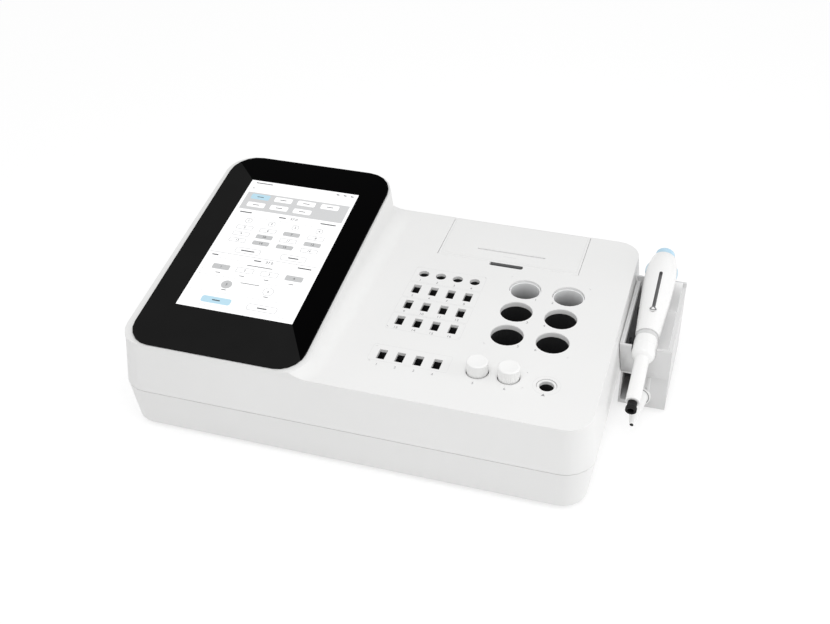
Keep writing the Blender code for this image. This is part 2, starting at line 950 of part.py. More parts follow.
def make_reagents(parent):
    margin = reagent_radius + reagent_wall
    x0 = reagent_first_x - margin
    x1 = reagent_first_x + (reagent_columns - 1) * reagent_pitch_x + margin
    y0 = reagent_first_y - (reagent_rows - 1) * reagent_pitch_y - margin
    y1 = reagent_first_y + margin
    bottom = block_top - reagent_depth - block_floor
    block = piece("reagent_block", box((x0, y0, bottom), (x1, y1, block_top)), "block_black", parent)
    bores = bmesh.new()
    for x, y in reagent_places():
        floor = block_top - reagent_depth
        cylinder(reagent_radius + gap, floor, block_top + overrun, round_steps, x, y, bores)
    cut(block, helper("reagent_bores", bores, parent))
    outer = reagent_radius - gap
    rim = -cup_recess
    floor = block_top - reagent_depth + gap - deck_height
    for side, (x, y) in zip(("left", "right"), reagent_places()):
        profile = [
            (0, floor),
            (outer, floor),
            (outer, rim),
            (outer - cup_wall, rim),
            (outer - cup_wall, floor + cup_wall),
            (0, floor + cup_wall),
        ]
        at = (x, y, deck_height)
        piece(f"reagent_cup_{side}", turned(profile), "cup_white", parent, at)


def make_mixing(parent):
    floor = block_top - mixing_depth
    rim = deck_height - mixing_ring_depth
    profile = [
        (0, floor - mixing_floor),
        (mixing_outer_radius, floor - mixing_floor),
        (mixing_outer_radius, block_top),
        (mixing_ring_radius, block_top),
        (mixing_ring_radius, rim),
        (mixing_radius, rim),
        (mixing_radius, floor),
        (0, floor),
    ]
    piece("mixing_well", turned(profile), "block_black", parent, (mixing_x, mixing_y, 0))
    magnet_top = floor - mixing_floor - stir_air
    magnet_bottom = magnet_top - stir_magnet_height
    bore = stir_shaft_radius + gap
    profile = [
        (bore, magnet_bottom),
        (stir_magnet_radius, magnet_bottom),
        (stir_magnet_radius, magnet_top),
        (0, magnet_top),
        (0, magnet_bottom + stir_shaft_rise + gap),
        (bore, magnet_bottom + stir_shaft_rise + gap),
    ]
    rotor = hollow_turned(profile, round_steps)
    piece("stir_magnet", rotor, "metal_grey", parent, (mixing_x, mixing_y, 0))
    motor_top = magnet_bottom - stir_air
    profile = [
        (0, floor_top + gap),
        (stir_motor_radius, floor_top + gap),
        (stir_motor_radius, motor_top),
        (stir_shaft_radius, motor_top),
        (stir_shaft_radius, magnet_bottom + stir_shaft_rise),
        (0, magnet_bottom + stir_shaft_rise),
    ]
    piece("stir_motor", turned(profile), "metal_grey", parent, (mixing_x, mixing_y, 0))


def hollow_turned(profile, steps):
    """A turned solid whose profile closes on itself, with a blind hole from below."""
    shape = bmesh.new()
    rings = []
    for radius, height in profile:
        rings.append([shape.verts.new(point) for point in circle(radius, height, steps)])
    for low, high in zip(rings, rings[1:] + rings[:1]):
        if len(low) == 1 and len(high) == 1:
            continue
        for i in range(steps):
            j = (i + 1) % steps
            corners = []
            for vert in (low[i % len(low)], low[j % len(low)], high[j % len(high)], high[i % len(high)]):
                if vert not in corners:
                    corners.append(vert)
            shape.faces.new(corners)
    return shape


def lid_box():
    """The lid's plate at rest: its back edge is flush with the deck's back edge."""
    x0 = lid_centre_x - lid_width / 2
    low = (x0, lid_front_y, deck_height - lid_thickness)
    high = (x0 + lid_width, deck_half_depth - gap, deck_height)
    return low, high


def hinge_axis():
    """Where the lid's hinge line crosses the middle of the lid."""
    return (lid_centre_x, deck_half_depth - hinge_from_back, deck_height - hinge_drop)


def finger_place():
    x0 = lid_centre_x - finger_width / 2
    return x0, x0 + finger_width, lid_front_y - finger_reach


def hinge_ears():
    """The middle of each hinge ear along X."""
    low, high = lid_box()
    return low[0] + hinge_inset, high[0] - hinge_inset


def platen_axis():
    return (slit_y + platen_back, deck_height - platen_drop)


def make_lid(parent):
    axis = hinge_axis()

    def local(point):
        return tuple(a - b for a, b in zip(point, axis))

    low, high = lid_box()
    lid = piece("printer_lid", box(local(low), local(high)), "case_white", parent, axis)
    lip_low = (low[0], high[1] - lid_lip_thickness, low[2] - lid_lip_height)
    extra = box(local(lip_low), local((high[0], high[1], low[2] + lid_thickness / 2)))
    ear_top = low[2] + lid_thickness / 2
    for x in hinge_ears():
        box(
            local((x - hinge_ear_width / 2, axis[1] - hinge_ear_half, axis[2] - hinge_ear_half)),
            local((x + hinge_ear_width / 2, axis[1] + hinge_ear_half, ear_top)),
            extra,
        )
    y, z = platen_axis()
    for side in ear_sides:
        x = lid_centre_x + side * (slit_length / 2 + gap + platen_ear_width / 2)
        box(
            local((x - platen_ear_width / 2, y - platen_ear_half, z - platen_ear_half)),
            local((x + platen_ear_width / 2, y + platen_ear_half, ear_top)),
            extra,
        )
    join(lid, helper("lid_extra", extra, parent, axis))
    slit = box(
        local((lid_centre_x - slit_length / 2, slit_y - slit_width / 2, low[2] - overrun)),
        local((lid_centre_x + slit_length / 2, slit_y + slit_width / 2, high[2] + overrun)),
    )
    cut(lid, helper("lid_slit", slit, parent, axis))
    along = (0, pi / 2, 0)
    bore = cylinder(hinge_pin_radius + gap, -lid_width, lid_width, pin_steps)
    cut(lid, helper("lid_hinge_bore", bore, parent, axis, along))
    bore = cylinder(platen_shaft_radius + gap, -slit_length, slit_length, pin_steps)
    cut(lid, helper("lid_platen_bore", bore, parent, (lid_centre_x, y, z), along))
    half = slit_length / 2 - gap
    end = slit_length / 2 + gap + platen_ear_width
    profile = [
        (platen_shaft_radius, -end),
        (platen_shaft_radius, -half),
        (platen_radius, -half),
        (platen_radius, half),
        (platen_shaft_radius, half),
        (platen_shaft_radius, end),
    ]
    piece("platen_roller", turned(profile), "rubber", parent, (lid_centre_x, y, z), along)


def bay_box():
    low, high = lid_box()
    front = lid_front_y + bay_inset
    back = deck_half_depth - wall - bay_back_gap
    return (
        (low[0] + bay_inset, front, block_top - bay_depth),
        (high[0] - bay_inset, back, block_top),
    )


def make_bay(parent):
    low, high = bay_box()
    bay = piece("printer_bay", box(low, high), "part_grey", parent)
    x0, x1, finger_y = finger_place()
    rim = box(
        (low[0] - bay_inset - bay_rim, finger_y - bay_rim, high[2] - bay_rim_thickness),
        (high[0] + bay_inset + bay_rim, high[1] - bay_wall, high[2]),
    )
    join(bay, helper("bay_rim", rim, parent))
    finger_floor = high[2] - finger_depth
    pocket = box(
        (x0 - bay_wall, finger_y - bay_wall, finger_floor - bay_wall),
        (x1 + bay_wall, low[1] + bay_wall / 2, high[2]),
    )
    join(bay, helper("bay_pocket", pocket, parent))
    y, z = platen_axis()
    head_back = y - platen_radius - print_head_gap
    shelf_back = head_back + gap
    inner_top = high[2] + overrun
    inside = box(
        (low[0] + bay_wall, low[1] + bay_wall, deck_underside - bay_shelf_drop),
        (high[0] - bay_wall, high[1] - bay_wall, inner_top),
    )
    cut(bay, helper("bay_upper", inside, parent))
    deep = box(
        (low[0] + bay_wall, shelf_back, low[2] + bay_wall),
        (high[0] - bay_wall, high[1] - bay_wall, inner_top),
    )
    cut(bay, helper("bay_deep", deep, parent))
    finger = prism(rounded(x0, x1, finger_y, low[1] - bay_inset, finger_reach / 3, 3), finger_floor, inner_top)
    cut(bay, helper("bay_finger", finger, parent))
    swing_bottom = deck_height - bay_lip_clear - lid_swing_gap
    back_notch = box(
        (low[0] + bay_wall, high[1] - 2 * bay_wall, swing_bottom),
        (high[0] - bay_wall, high[1] + overrun, inner_top),
    )
    cut(bay, helper("bay_back_notch", back_notch, parent))
    along = (0, pi / 2, 0)
    axis = hinge_axis()
    side_notch = box(
        (low[0] - overrun, axis[1] - bay_lip_clear / 2, swing_bottom),
        (high[0] + overrun, high[1] + overrun, axis[2] - hinge_ear_half - gap),
    )
    cut(bay, helper("bay_side_notch", side_notch, parent))
    top_notch = box(
        (low[0] - overrun, axis[1] - bay_lip_clear / 2, axis[2] + hinge_side_rise),
        (high[0] + overrun, high[1] + overrun, inner_top),
    )
    cut(bay, helper("bay_top_notch", top_notch, parent))
    reach = (high[0] - low[0]) / 2 + gap
    holes = cylinder(hinge_pin_radius + gap, -reach, reach, pin_steps)
    cut(bay, helper("bay_hinge_holes", holes, parent, axis, along))
    spindle_half = (high[0] - low[0]) / 2 - bay_wall + spindle_socket
    sockets = cylinder(paper_bore - gap, -spindle_half, spindle_half, round_steps)
    roll_at = (lid_centre_x, paper_y, deck_height - paper_drop)
    cut(bay, helper("bay_spindle_sockets", sockets, parent, roll_at, along))
    spindle = cylinder(paper_bore - 2 * gap, -spindle_half + gap, spindle_half - gap)
    piece("paper_spindle", spindle, "part_black", parent, roll_at, along)
    half = paper_width / 2
    profile = [(paper_bore, -half), (paper_radius, -half), (paper_radius, half), (paper_bore, half)]
    piece("paper_roll", hollow_turned(profile, round_steps), "paper", parent, roll_at, along)
    head_low = (
        lid_centre_x - slit_length / 2,
        head_back - print_head_depth,
        deck_underside - bay_shelf_drop + gap,
    )
    head_high = (lid_centre_x + slit_length / 2, head_back, head_low[2] + print_head_height)
    piece("print_head", box(head_low, head_high), "part_black", parent)
    for side, x in zip(("left", "right"), hinge_ears()):
        centre = hinge_inset if side == "left" else -hinge_inset
        edge = x - centre
        start = edge + (bay_inset + gap if side == "left" else -bay_inset - gap)
        end = x + (hinge_ear_width / 2 if side == "left" else -hinge_ear_width / 2)
        middle = (start + end) / 2
        half = abs(end - start) / 2
        pin = cylinder(hinge_pin_radius, -half, half, pin_steps)
        piece(f"lid_pin_{side}", pin, "metal_grey", parent, (middle, axis[1], axis[2]), along)


def board_height():
    return floor_top + board_stand


def board_corner():
    return (board_left - deck_half_width + wall, board_front - deck_half_depth)


def board_posts():
    x, y = board_corner()
    return [
        (x + across, y + along)
        for across in (board_post_inset, board_width - board_post_inset)
        for along in (board_post_inset, board_length - board_post_inset)
    ]


def make_electronics(parent):
    x, y = board_corner()
    z = board_height()
    board = piece(
        "main_board",
        box((x, y, z), (x + board_width, y + board_length, z + board_thickness)),
        "board_green",
        parent,
    )
    chips = bmesh.new()
    for across, along in chip_shares:
        low = (x + across * board_width, y + along * board_length, z + board_thickness / 2)
        high = (low[0] + chip_size, low[1] + chip_size, z + board_thickness + chip_height)
        box(low, high, chips)
    join(board, helper("chips", chips, parent))
    x0 = supply_left - deck_half_width
    y1 = deck_half_depth - supply_back
    low = (x0, y1 - supply_length, floor_top + gap)
    high = (x0 + supply_width, y1, floor_top + gap + supply_height)
    supply = piece("power_supply", box(low, high), "metal_grey", parent)
    slots = bmesh.new()
    inset = supply_length * supply_slot_share
    for i in range(supply_slots):
        start = low[0] + (i + 1) * supply_width / (supply_slots + 1)
        box(
            (start, low[1] + inset, high[2] - supply_slot_depth),
            (start + supply_slot, high[1] - inset, high[2] + overrun),
            slots,
        )
    cut(supply, helper("supply_slots", slots, parent))


def fan_height():
    return floor_top + fan_lift + fan_size / 2


def make_fan(parent):
    half = fan_size / 2
    back = deck_half_depth - wall - gap
    front = back - fan_thickness
    z = fan_height()
    frame = piece(
        "fan_frame",
        box((fan_x - half, front, floor_top + gap), (fan_x + half, back, z + half)),
        "part_black",
        parent,
    )
    bore = cylinder(fan_bore, -fan_thickness - overrun, overrun)
    at = (fan_x, back, z)
    cut(frame, helper("fan_bore", bore, parent, at, (-pi / 2, 0, 0)))
    bar = box(
        (fan_x - fan_bore - overrun / 3, front, z - fan_bar / 2),
        (fan_x + fan_bore + overrun / 3, front + fan_bar_thickness, z + fan_bar / 2),
    )
    join(frame, helper("fan_bar", bar, parent))
    tip = fan_bore - fan_tip_gap
    outline = []
    for i in range(fan_blades):
        start = 2 * pi * i / fan_blades
        for radius, share in zip((fan_hub, tip, tip, fan_hub), [0] + fan_blade_shares):
            turn = start + 2 * pi / fan_blades * share
            outline.append((radius * cos(turn), radius * sin(turn)))
    length = fan_thickness - fan_bar_thickness - 2 * gap
    rotor_at = (fan_x, back - gap, z)
    piece("fan_rotor", prism(outline, 0, length), "part_black", parent, rotor_at, (pi / 2, 0, 0))


def rear_plate():
    """Left edge, front face, back face, bottom and top of the rear plate."""
    left = rear_plate_left - deck_half_width
    back = deck_half_depth - wall - gap
    bottom = floor_top + gap
    return left, back - rear_plate_thickness, back, bottom, bottom + rear_plate_height


def rear_opening():
    left, front, back, bottom, top = rear_plate()
    return (
        left + rear_opening_margin,
        left + rear_plate_width - rear_opening_margin,
        bottom + rear_opening_margin / 2,
        top - rear_opening_margin / 2,
    )


def make_rear(parent):
    left, front, back, bottom, top = rear_plate()
    middle = (bottom + top) / 2
    low = (left, front, bottom)
    high = (left + rear_plate_width, back, top)
    plate = piece("rear_plate", box(low, high), "metal_grey", parent)
    fittings = [
        ("power_inlet", inlet_from_left, inlet_width, inlet_height, inlet_depth),
        ("switch_housing", switch_from_left, switch_width, switch_height, switch_depth),
        ("serial_port", serial_from_left, serial_width - 6 * port_stand, serial_height - port_stand, port_depth),
        ("usb_port", usb_from_left, usb_width, usb_height, port_depth),
    ]
    holes = bmesh.new()
    for name, from_left, width, height, depth in fittings:
        x = left + from_left
        box(
            (x - width / 2 - gap, front - overrun, middle - height / 2 - gap),
            (x + width / 2 + gap, back + overrun, middle + height / 2 + gap),
            holes,
        )
    cut(plate, helper("rear_holes", holes, parent))
    for name, from_left, width, height, depth in fittings:
        x = left + from_left
        flange_back = back + gap + inlet_flange
        body = box(
            (x - width / 2, flange_back - depth, middle - height / 2),
            (x + width / 2, back + gap + inlet_flange / 2, middle + height / 2),
        )
        made = piece(name, body, "part_black", parent)
        flange = box(
            (x - width / 2 - port_stand, back + gap, middle - height / 2 - port_stand / 2),
            (x + width / 2 + port_stand, flange_back, middle + height / 2 + port_stand / 2),
        )
        join(made, helper(name + "_flange", flange, parent))
        if name == "serial_port":
            plug = lengthwise(serial_outline(x, middle), flange_back - gap, flange_back + serial_plug_rise)
            join(made, helper("serial_plug", plug, parent))
            continue
        socket_width, socket_height, socket_depth = sockets_of(name)
        hollow = box(
            (x - socket_width / 2, flange_back - socket_depth, middle - socket_height / 2),
            (x + socket_width / 2, flange_back + overrun, middle + socket_height / 2),
        )
        cut(made, helper(name + "_hollow", hollow, parent))
        if name == "power_inlet":
            blades = bmesh.new()
            for across, up in ((-1, 0), (0, 1), (1, 0)):
                at_x = x + across * inlet_blade_pitch
                at_z = middle + (up - 0.5) * inlet_blade_width
                box(
                    (
                        at_x - inlet_blade_thickness / 2,
                        flange_back - socket_depth - inlet_wall / 2,
                        at_z - inlet_blade_width / 2,
                    ),
                    (
                        at_x + inlet_blade_thickness / 2,
                        flange_back - inlet_flange,
                        at_z + inlet_blade_width / 2,
                    ),
                    blades,
                )
            join(made, helper("inlet_blades", blades, parent))
    make_rocker(parent, left + switch_from_left, back + gap + inlet_flange, middle)


def serial_outline(x, middle):
    """The plug shell's D shape, wider at the top, in X and Z."""
    half = serial_plug_width / 2
    reach = serial_plug_height / 2
    return [
        (x - half + serial_plug_slope, middle - reach),
        (x + half - serial_plug_slope, middle - reach),
        (x + half, middle + reach),
        (x - half, middle + reach),
    ]


def sockets_of(name):
    """Width, height and depth of the hollow in one rear fitting."""
    if name == "power_inlet":
        return inlet_width - 2 * inlet_wall, inlet_height - 2 * inlet_wall, inlet_depth - inlet_wall
    if name == "switch_housing":
        return switch_width - 2 * switch_wall, switch_height - 2 * switch_wall, switch_depth - switch_wall
    return usb_socket_width, usb_socket_height, port_depth - inlet_wall


def make_rocker(parent, x, face, middle):
    """The rocker turns about a line along Z, inside the housing's face, on two pins."""
    width, height, depth = sockets_of("switch_housing")
    half = width / 2 - gap
    across = half * cos(rocker_tilt) - 2 * gap
    drop = half * sin(rocker_tilt)
    # Seen from above, its two faces meet at the middle like a flat V, with the right side pressed.
    outline = [
        (-across, -rocker_depth),
        (across, -rocker_depth),
        (across, rocker_rise - drop),
        (0, rocker_rise),
        (-across, rocker_rise + drop / 4),
    ]
    reach = height / 2 - gap
    at = (x, face - rocker_inset, middle)
    rocker = piece("power_rocker", prism(outline, -reach, reach), "part_grey", parent, at)
    pin_reach = height / 2 + switch_wall / 2
    pin = cylinder(rocker_pin_radius, -pin_reach, pin_reach, pin_steps)
    join(rocker, helper("rocker_pin", pin, parent, at))
    bore_reach = pin_reach + gap
    bore = cylinder(rocker_pin_radius + gap, -bore_reach, bore_reach, pin_steps)
    cut(bpy.data.objects["switch_housing"], helper("rocker_pin_bore", bore, parent, at))


def make_feet(parent):
    for corner, (x, y) in zip(corner_names, feet):
        profile = [
            (0, 0),
            (foot_radius, 0),
            (foot_radius, foot_height - gap),
            (foot_stud_radius, foot_height - gap),
            (foot_stud_radius, floor_top),
            (0, floor_top),
        ]
        piece(f"foot_{corner}", turned(profile, round_steps), "rubber", parent, (x, y, 0))


def make_case_screws(parent):
    for corner, (x, y) in zip(corner_names, posts):
        bottom = foot_height + gap
        profile = [
            (0, bottom),
            (screw_head_radius, bottom),
            (screw_head_radius, bottom + screw_head_height - gap),
            (screw_radius, bottom + screw_head_height - gap),
            (screw_radius, screw_top() - gap),
            (0, screw_top() - gap),
        ]
        piece(f"case_screw_{corner}", turned(profile, pin_steps), "metal_grey", parent, (x, y, 0))


def holder_wall_x(z):
    """The outer face of the holder's left wall, which follows the case's side."""
    return holder_left - upper_inset(max(z, seam_height))


def holder_screw_places():
    """Middle of each holder screw, on the inner face of the holder's left wall."""
    z = holder_top - holder_screw_drop
    x = holder_wall_x(z) + holder_side_wall
    return [
        (x, holder_front_y + holder_screw_inset, z),
        (x, holder_front_y + holder_length - holder_screw_inset, z),
    ]


def cut_screw_holes(target, tag, parent):
    """Two holes square to the case's leaning side, in the case or in the holder."""
    reach = holder_side_wall + wall + overrun
    for number, at in enumerate(holder_screw_places(), 1):
        hole = cylinder(holder_screw_radius + gap, -overrun / 3, reach, pin_steps)
        cut(target, helper(f"{tag}_{number}", hole, parent, at, screw_turn))


def saddle_radius():
    """The barrel's radius where it crosses the holder's back wall, with clearance."""
    along = pipette_front_reach / cos(pipette_tilt) + (holder_front_y + holder_length) / cos(pipette_tilt)
    from_front = along - seat_length - shaft_length - collar_length - ring_length
    share = min(1, from_front / barrel_wide_at)
    return barrel_front_radius + (barrel_back_radius - barrel_front_radius) * share + gap


def axis_height(y):
    """Height of the pipette's axis above a place along Y."""
    return pipette_axis_height + (y - holder_front_y) * sin(pipette_tilt) / cos(pipette_tilt)


def beside_case(inset, right, bottom, top):
    """A band in X and Z whose left edge follows the case's side, drawn in by inset."""
    outline = [(right, bottom), (right, top), (holder_wall_x(top) + inset, top)]
    if bottom < seam_height < top:
        outline.append((holder_left + inset, seam_height))
    outline.append((holder_wall_x(bottom) + inset, bottom))
    return outline


def make_holder(parent):
    front = holder_front_y
    back = holder_front_y + holder_length
    body = lengthwise(beside_case(0, holder_right, holder_bottom, holder_top), front, back)
    holder = piece("holder_bracket", body, "holder_grey", parent)
    crest = beside_case(gap, holder_right, holder_top - holder_wall, holder_top + holder_saddle_rise)
    join(holder, helper("holder_saddle", lengthwise(crest, back - holder_wall, back), parent))
    inner_right = holder_right - holder_side_wall
    room = beside_case(holder_side_wall, inner_right, tray_floor_height, holder_top + 2 * overrun)
    tray = lengthwise(room, front + holder_wall, back - holder_wall)
    cut(holder, helper("holder_tray", tray, parent))
    setback = box(
        (holder_left - overrun, front - overrun, holder_bottom - overrun),
        (holder_right + overrun, front + holder_foot_setback, tray_floor_height - holder_wall),
    )
    cut(holder, helper("holder_setback", setback, parent))
    window = box(
        (holder_left + window_inset, front - overrun, holder_bottom + window_margin),
        (
            holder_left + window_inset + window_width,
            front + window_depth,
            tray_floor_height - window_margin,
        ),
    )
    cut(holder, helper("holder_window", window, parent))
    socket_at = (pipette_x, front + holder_foot_setback, tip_height)
    socket = cylinder(tip_radius + gap, -overrun, tip_seat_length + 2 * gap)
    cut(holder, helper("tip_socket", socket, parent, socket_at, (-pi / 2, 0, 0)))
    notch_half = collar_radius + gap * 2
    notch_z = axis_height(front)
    notch = notch_outline(notch_half, notch_z)
    cut(holder, helper("holder_notch", lengthwise(notch, front - overrun, front + holder_wall + overrun / 2), parent))
    saddle_half = saddle_radius()
    saddle_z = axis_height(back)
    notch = notch_outline(saddle_half + gap, saddle_z)
    cut(holder, helper("saddle_notch", lengthwise(notch, back - holder_wall - overrun / 2, back + overrun), parent))
    cut_screw_holes(holder, "holder_wall_holes", parent)
    for number, at in enumerate(holder_screw_places(), 1):
        head = -gap - holder_screw_height
        profile = [
            (0, head),
            (holder_screw_head, head),
            (holder_screw_head, -gap),
            (holder_screw_radius, -gap),
            (holder_screw_radius, holder_screw_length - gap),
            (0, holder_screw_length - gap),
        ]
        piece(f"holder_screw_{number}", turned(profile, pin_steps), "metal_grey", parent, at, screw_turn)


def notch_outline(half, height):
    """A U that is open upward, in X and Z, about the pipette's axis."""
    outline = []
    steps = 2 * corner_steps
    for i in range(steps + 1):
        turn = pi + pi * i / steps
        outline.append((pipette_x + half * cos(turn), height + half * sin(turn)))
    top = height + half + overrun
    outline.append((pipette_x + half, top))
    outline.append((pipette_x - half, top))
    return outline


def make_pipette(parent):
    start_y = holder_front_y - pipette_front_reach
    start = (pipette_x, start_y, axis_height(start_y))
    tilted = empty("pipette_axis", parent, start, (pipette_tilt - pi / 2, 0, 0))
    axis = empty("pipette_body_axis", tilted, (0, 0, 0), (0, 0, pipette_roll))
    shaft_end = seat_length
    collar_start = shaft_end + shaft_length
    ring_start = collar_start + collar_length
    barrel_start = ring_start + ring_length

    seat = [
        (0, seat_length + spigot_length - gap),
        (shaft_radius / 2, seat_length + spigot_length - gap),
        (shaft_radius / 2, seat_length),
        (seat_neck_radius, seat_length),
        (seat_neck_radius, seat_flange),
        (seat_radius, seat_flange),
        (seat_radius, 0),
        (seat_bore, 0),
        (seat_bore, seat_length / 2),
        (0, seat_length / 2),
    ]
    piece("tip_seat", turned(seat[::-1], round_steps), "rubber", axis)

    collar = [
        (shaft_radius / 2 + gap, shaft_end + gap),
        (shaft_radius, shaft_end + gap),
        (shaft_radius, collar_start),
    ]
    for along, share in collar_shares:
        collar.append((collar_radius * share, collar_start + (collar_length - gap) * along))
    collar += [
        (spigot_radius + gap, ring_start - gap),
        (spigot_radius + gap, ring_start - spigot_length - gap),
        (shaft_radius / 2 + gap, ring_start - spigot_length - gap),
    ]
    piece("pipette_shaft", hollow_turned(collar, round_steps), "pipette_white", axis)

    ring = [
        (spigot_radius + gap, ring_start),
        (ring_radius, ring_start),
        (ring_radius, barrel_start - gap),
        (spigot_radius + gap, barrel_start - gap),
    ]
    piece("lock_ring", hollow_turned(ring, round_steps), "ring_grey", axis)

    barrel_end = barrel_start + barrel_length
    wide = barrel_start + barrel_wide_at
    barrel = [
        (0, ring_start - spigot_length),
        (spigot_radius, ring_start - spigot_length),
        (spigot_radius, barrel_start),
        (barrel_front_radius, barrel_start),
        (barrel_back_radius, wide),
    ]
    for along, share in barrel_back_shares:
        barrel.append((barrel_back_radius * share, wide + (barrel_end - wide) * along))
    barrel += [
        (barrel_end_radius, barrel_end),
        (button_radius + gap, barrel_end),
        (button_radius + gap, barrel_end - button_seat),
        (0, barrel_end - button_seat),
    ]
    body = piece("pipette_barrel", turned(barrel, round_steps), "pipette_white", axis)

    wheel_z = barrel_start + wheel_at
    pocket = wheel_pocket(wheel_radius + 2 * gap, wheel_thickness / 2 + gap)
    at = (0, 0, wheel_z)
    across = (pi / 2, 0, 0)
    cut(body, helper("wheel_pocket", pocket, axis, at, across))
    disc = wheel_pocket(wheel_radius, wheel_thickness / 2)
    wheel = piece("volume_wheel", disc, "light_blue", axis, at, across)
    axle = cylinder(wheel_axle_radius, -wheel_axle_half, wheel_axle_half, pin_steps)
    join(wheel, helper("wheel_axle", axle, axis, at, across))
    axle_bore = cylinder(wheel_axle_radius + gap, -wheel_axle_half - gap, wheel_axle_half + gap, pin_steps)
    cut(body, helper("wheel_axle_bore", axle_bore, axis, at, across))

    button_bottom = barrel_end - button_seat + button_travel + gap
    button_top = barrel_end + button_rise
    button = [
        (0, button_bottom),
        (button_radius, button_bottom),
        (button_radius, button_top - button_crown),
        (button_radius - button_crown, button_top),
        (0, button_top),
    ]
    push = piece("dispense_button", turned(button, round_steps), "light_blue", axis)
    room = wheel_pocket(wheel_radius + button_slot_air, wheel_thickness / 2 + 3 * gap)
    cut(push, helper("button_slot", room, axis, (0, 0, wheel_z + button_travel), across))

    slope = atan2(barrel_back_radius - barrel_front_radius, barrel_wide_at)
    slot_z = barrel_start + slot_start
    slot_radius = barrel_front_radius + (barrel_back_radius - barrel_front_radius) * slot_start / barrel_wide_at
    rail = empty("slider_rail", axis, (0, -slot_radius, slot_z), (slope, 0, 0))
    half = slot_width / 2
    slot = box((-half, -overrun, 0), (half, slot_depth, slot_length))
    cut(body, helper("slider_slot", slot, rail))
    top = -gap
    broad = slider_length * slider_front_share
    slider = prism(
        [
            (-slider_width / 3, 0),
            (slider_width / 3, 0),
            (slider_width / 2, broad),
            (slider_stem_width / 2, slider_length),
            (-slider_stem_width / 2, slider_length),
            (-slider_width / 2, broad),
        ],
        0,
        slider_height,
    )
    at = (0, top, gap)
    knob = piece("fill_slider", slider, "ring_grey", rail, at, (pi / 2, 0, 0))
    stem_half = slider_stem_width / 2
    start, end = [slider_length * share for share in slider_stem_shares]
    stem = box((-stem_half, start, gap - slot_depth), (stem_half, end, slider_height / 2))
    join(knob, helper("slider_stem", stem, rail, at, (pi / 2, 0, 0)))


def wheel_pocket(radius, half):
    return cylinder(radius, -half, half)


def make_tip(parent):
    at = (pipette_x, holder_front_y + holder_foot_setback, tip_height)
    reach = tip_cone_length + tip_ring_thickness + gap
    profile = [
        (0, -tip_seat_length),
        (tip_radius, -tip_seat_length),
        (tip_radius, gap),
        (tip_ring_radius, gap),
        (tip_ring_radius, gap + tip_ring_thickness),
        (tip_cone_radius, gap + tip_ring_thickness),
        (tip_end_radius, reach),
        (tip_hole_radius, reach),
        (tip_hole_radius, reach - tip_hole_depth),
        (0, reach - tip_hole_depth),
    ]
    piece("dispenser_tip", turned(profile, round_steps), "pipette_white", parent, at, (pi / 2, 0, 0))


def main():
    clear_scene()
    analyzer = empty("analyzer", None, (-centre_shift, 0, 0))
    make_lower_shell(analyzer)
    make_upper_shell(analyzer)
    make_head(analyzer)
    make_covers(analyzer)
    make_incubation(analyzer)
    make_test_block(analyzer)
    make_caps(analyzer)
    make_reagents(analyzer)
    make_mixing(analyzer)
    make_lid(analyzer)
    make_bay(analyzer)
    make_electronics(analyzer)
    make_fan(analyzer)
    make_rear(analyzer)
    make_feet(analyzer)
    make_case_screws(analyzer)
    make_holder(analyzer)
    make_pipette(analyzer)
    make_tip(analyzer)


main()
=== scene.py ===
"""Dressed model of a bench coagulation analyzer: white case with a tilted touch screen, wells and
bores in the deck, a receipt printer's lid, and a dispensing pipette in a side holder.

The places below are in millimetres from the middle of the case, with +Z up and the front at -Y.
"""

import json
from math import atan2, cos, hypot, pi, radians, sin

import bmesh
import bpy
import numpy as np
from mathutils import Matrix, Vector


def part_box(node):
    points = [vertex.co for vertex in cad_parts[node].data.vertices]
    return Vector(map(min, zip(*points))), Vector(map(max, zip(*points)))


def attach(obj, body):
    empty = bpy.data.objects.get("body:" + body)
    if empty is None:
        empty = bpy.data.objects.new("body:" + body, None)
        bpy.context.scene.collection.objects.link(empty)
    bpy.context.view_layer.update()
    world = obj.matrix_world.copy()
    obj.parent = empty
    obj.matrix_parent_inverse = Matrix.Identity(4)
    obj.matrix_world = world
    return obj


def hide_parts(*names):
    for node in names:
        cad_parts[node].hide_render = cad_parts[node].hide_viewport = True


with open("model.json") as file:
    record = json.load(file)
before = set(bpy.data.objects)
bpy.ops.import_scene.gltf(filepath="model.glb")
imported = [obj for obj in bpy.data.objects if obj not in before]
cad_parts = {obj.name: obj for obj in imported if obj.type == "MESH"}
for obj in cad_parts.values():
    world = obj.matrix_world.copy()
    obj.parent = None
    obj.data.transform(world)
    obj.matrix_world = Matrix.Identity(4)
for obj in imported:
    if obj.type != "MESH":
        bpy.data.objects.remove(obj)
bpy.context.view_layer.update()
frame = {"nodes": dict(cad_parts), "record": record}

bl_info = {
    "name": "Coagulation Analyzer",
    "version": (1, 0, 0),
    "blender": (4, 5, 0),
    "location": "View3D > Sidebar > Analyzer",
    "description": "Builds the dressed pieces of a bench coagulation analyzer on its packed frame",
    "category": "Object",
}

MM = 0.001
ROOT = "case"

# How far the middle of the case lies from the middle of the frame, along x
SHIFT = -20.75

# The case: its half width and depth, its corners, the parting between its shells with the lower
# shell's top edge, how far its walls lean in for each millimetre of height, and its deck
CASE_HALF = (205.0, 139.0)
CASE_CORNER = 26.0
PARTING = 43.7
LOWER_TOP = 43.4
CASE_LEAN = 0.12
DECK = 86.2
UNDER_DECK = 83.2
COVERS = ("incubation_cover", "test_cover", "reagent_cover")

# The cover glass: its front left corner and tilt, and the screen's middle, front and size on it
GLASS_FRONT = (-114.9, -133.4, 93.6)
GLASS_TILT = radians(8.5)
SCREEN_MIDDLE = 1.3
SCREEN_FRONT = 49.0
SCREEN_SIZE = (107.6, 172.2)

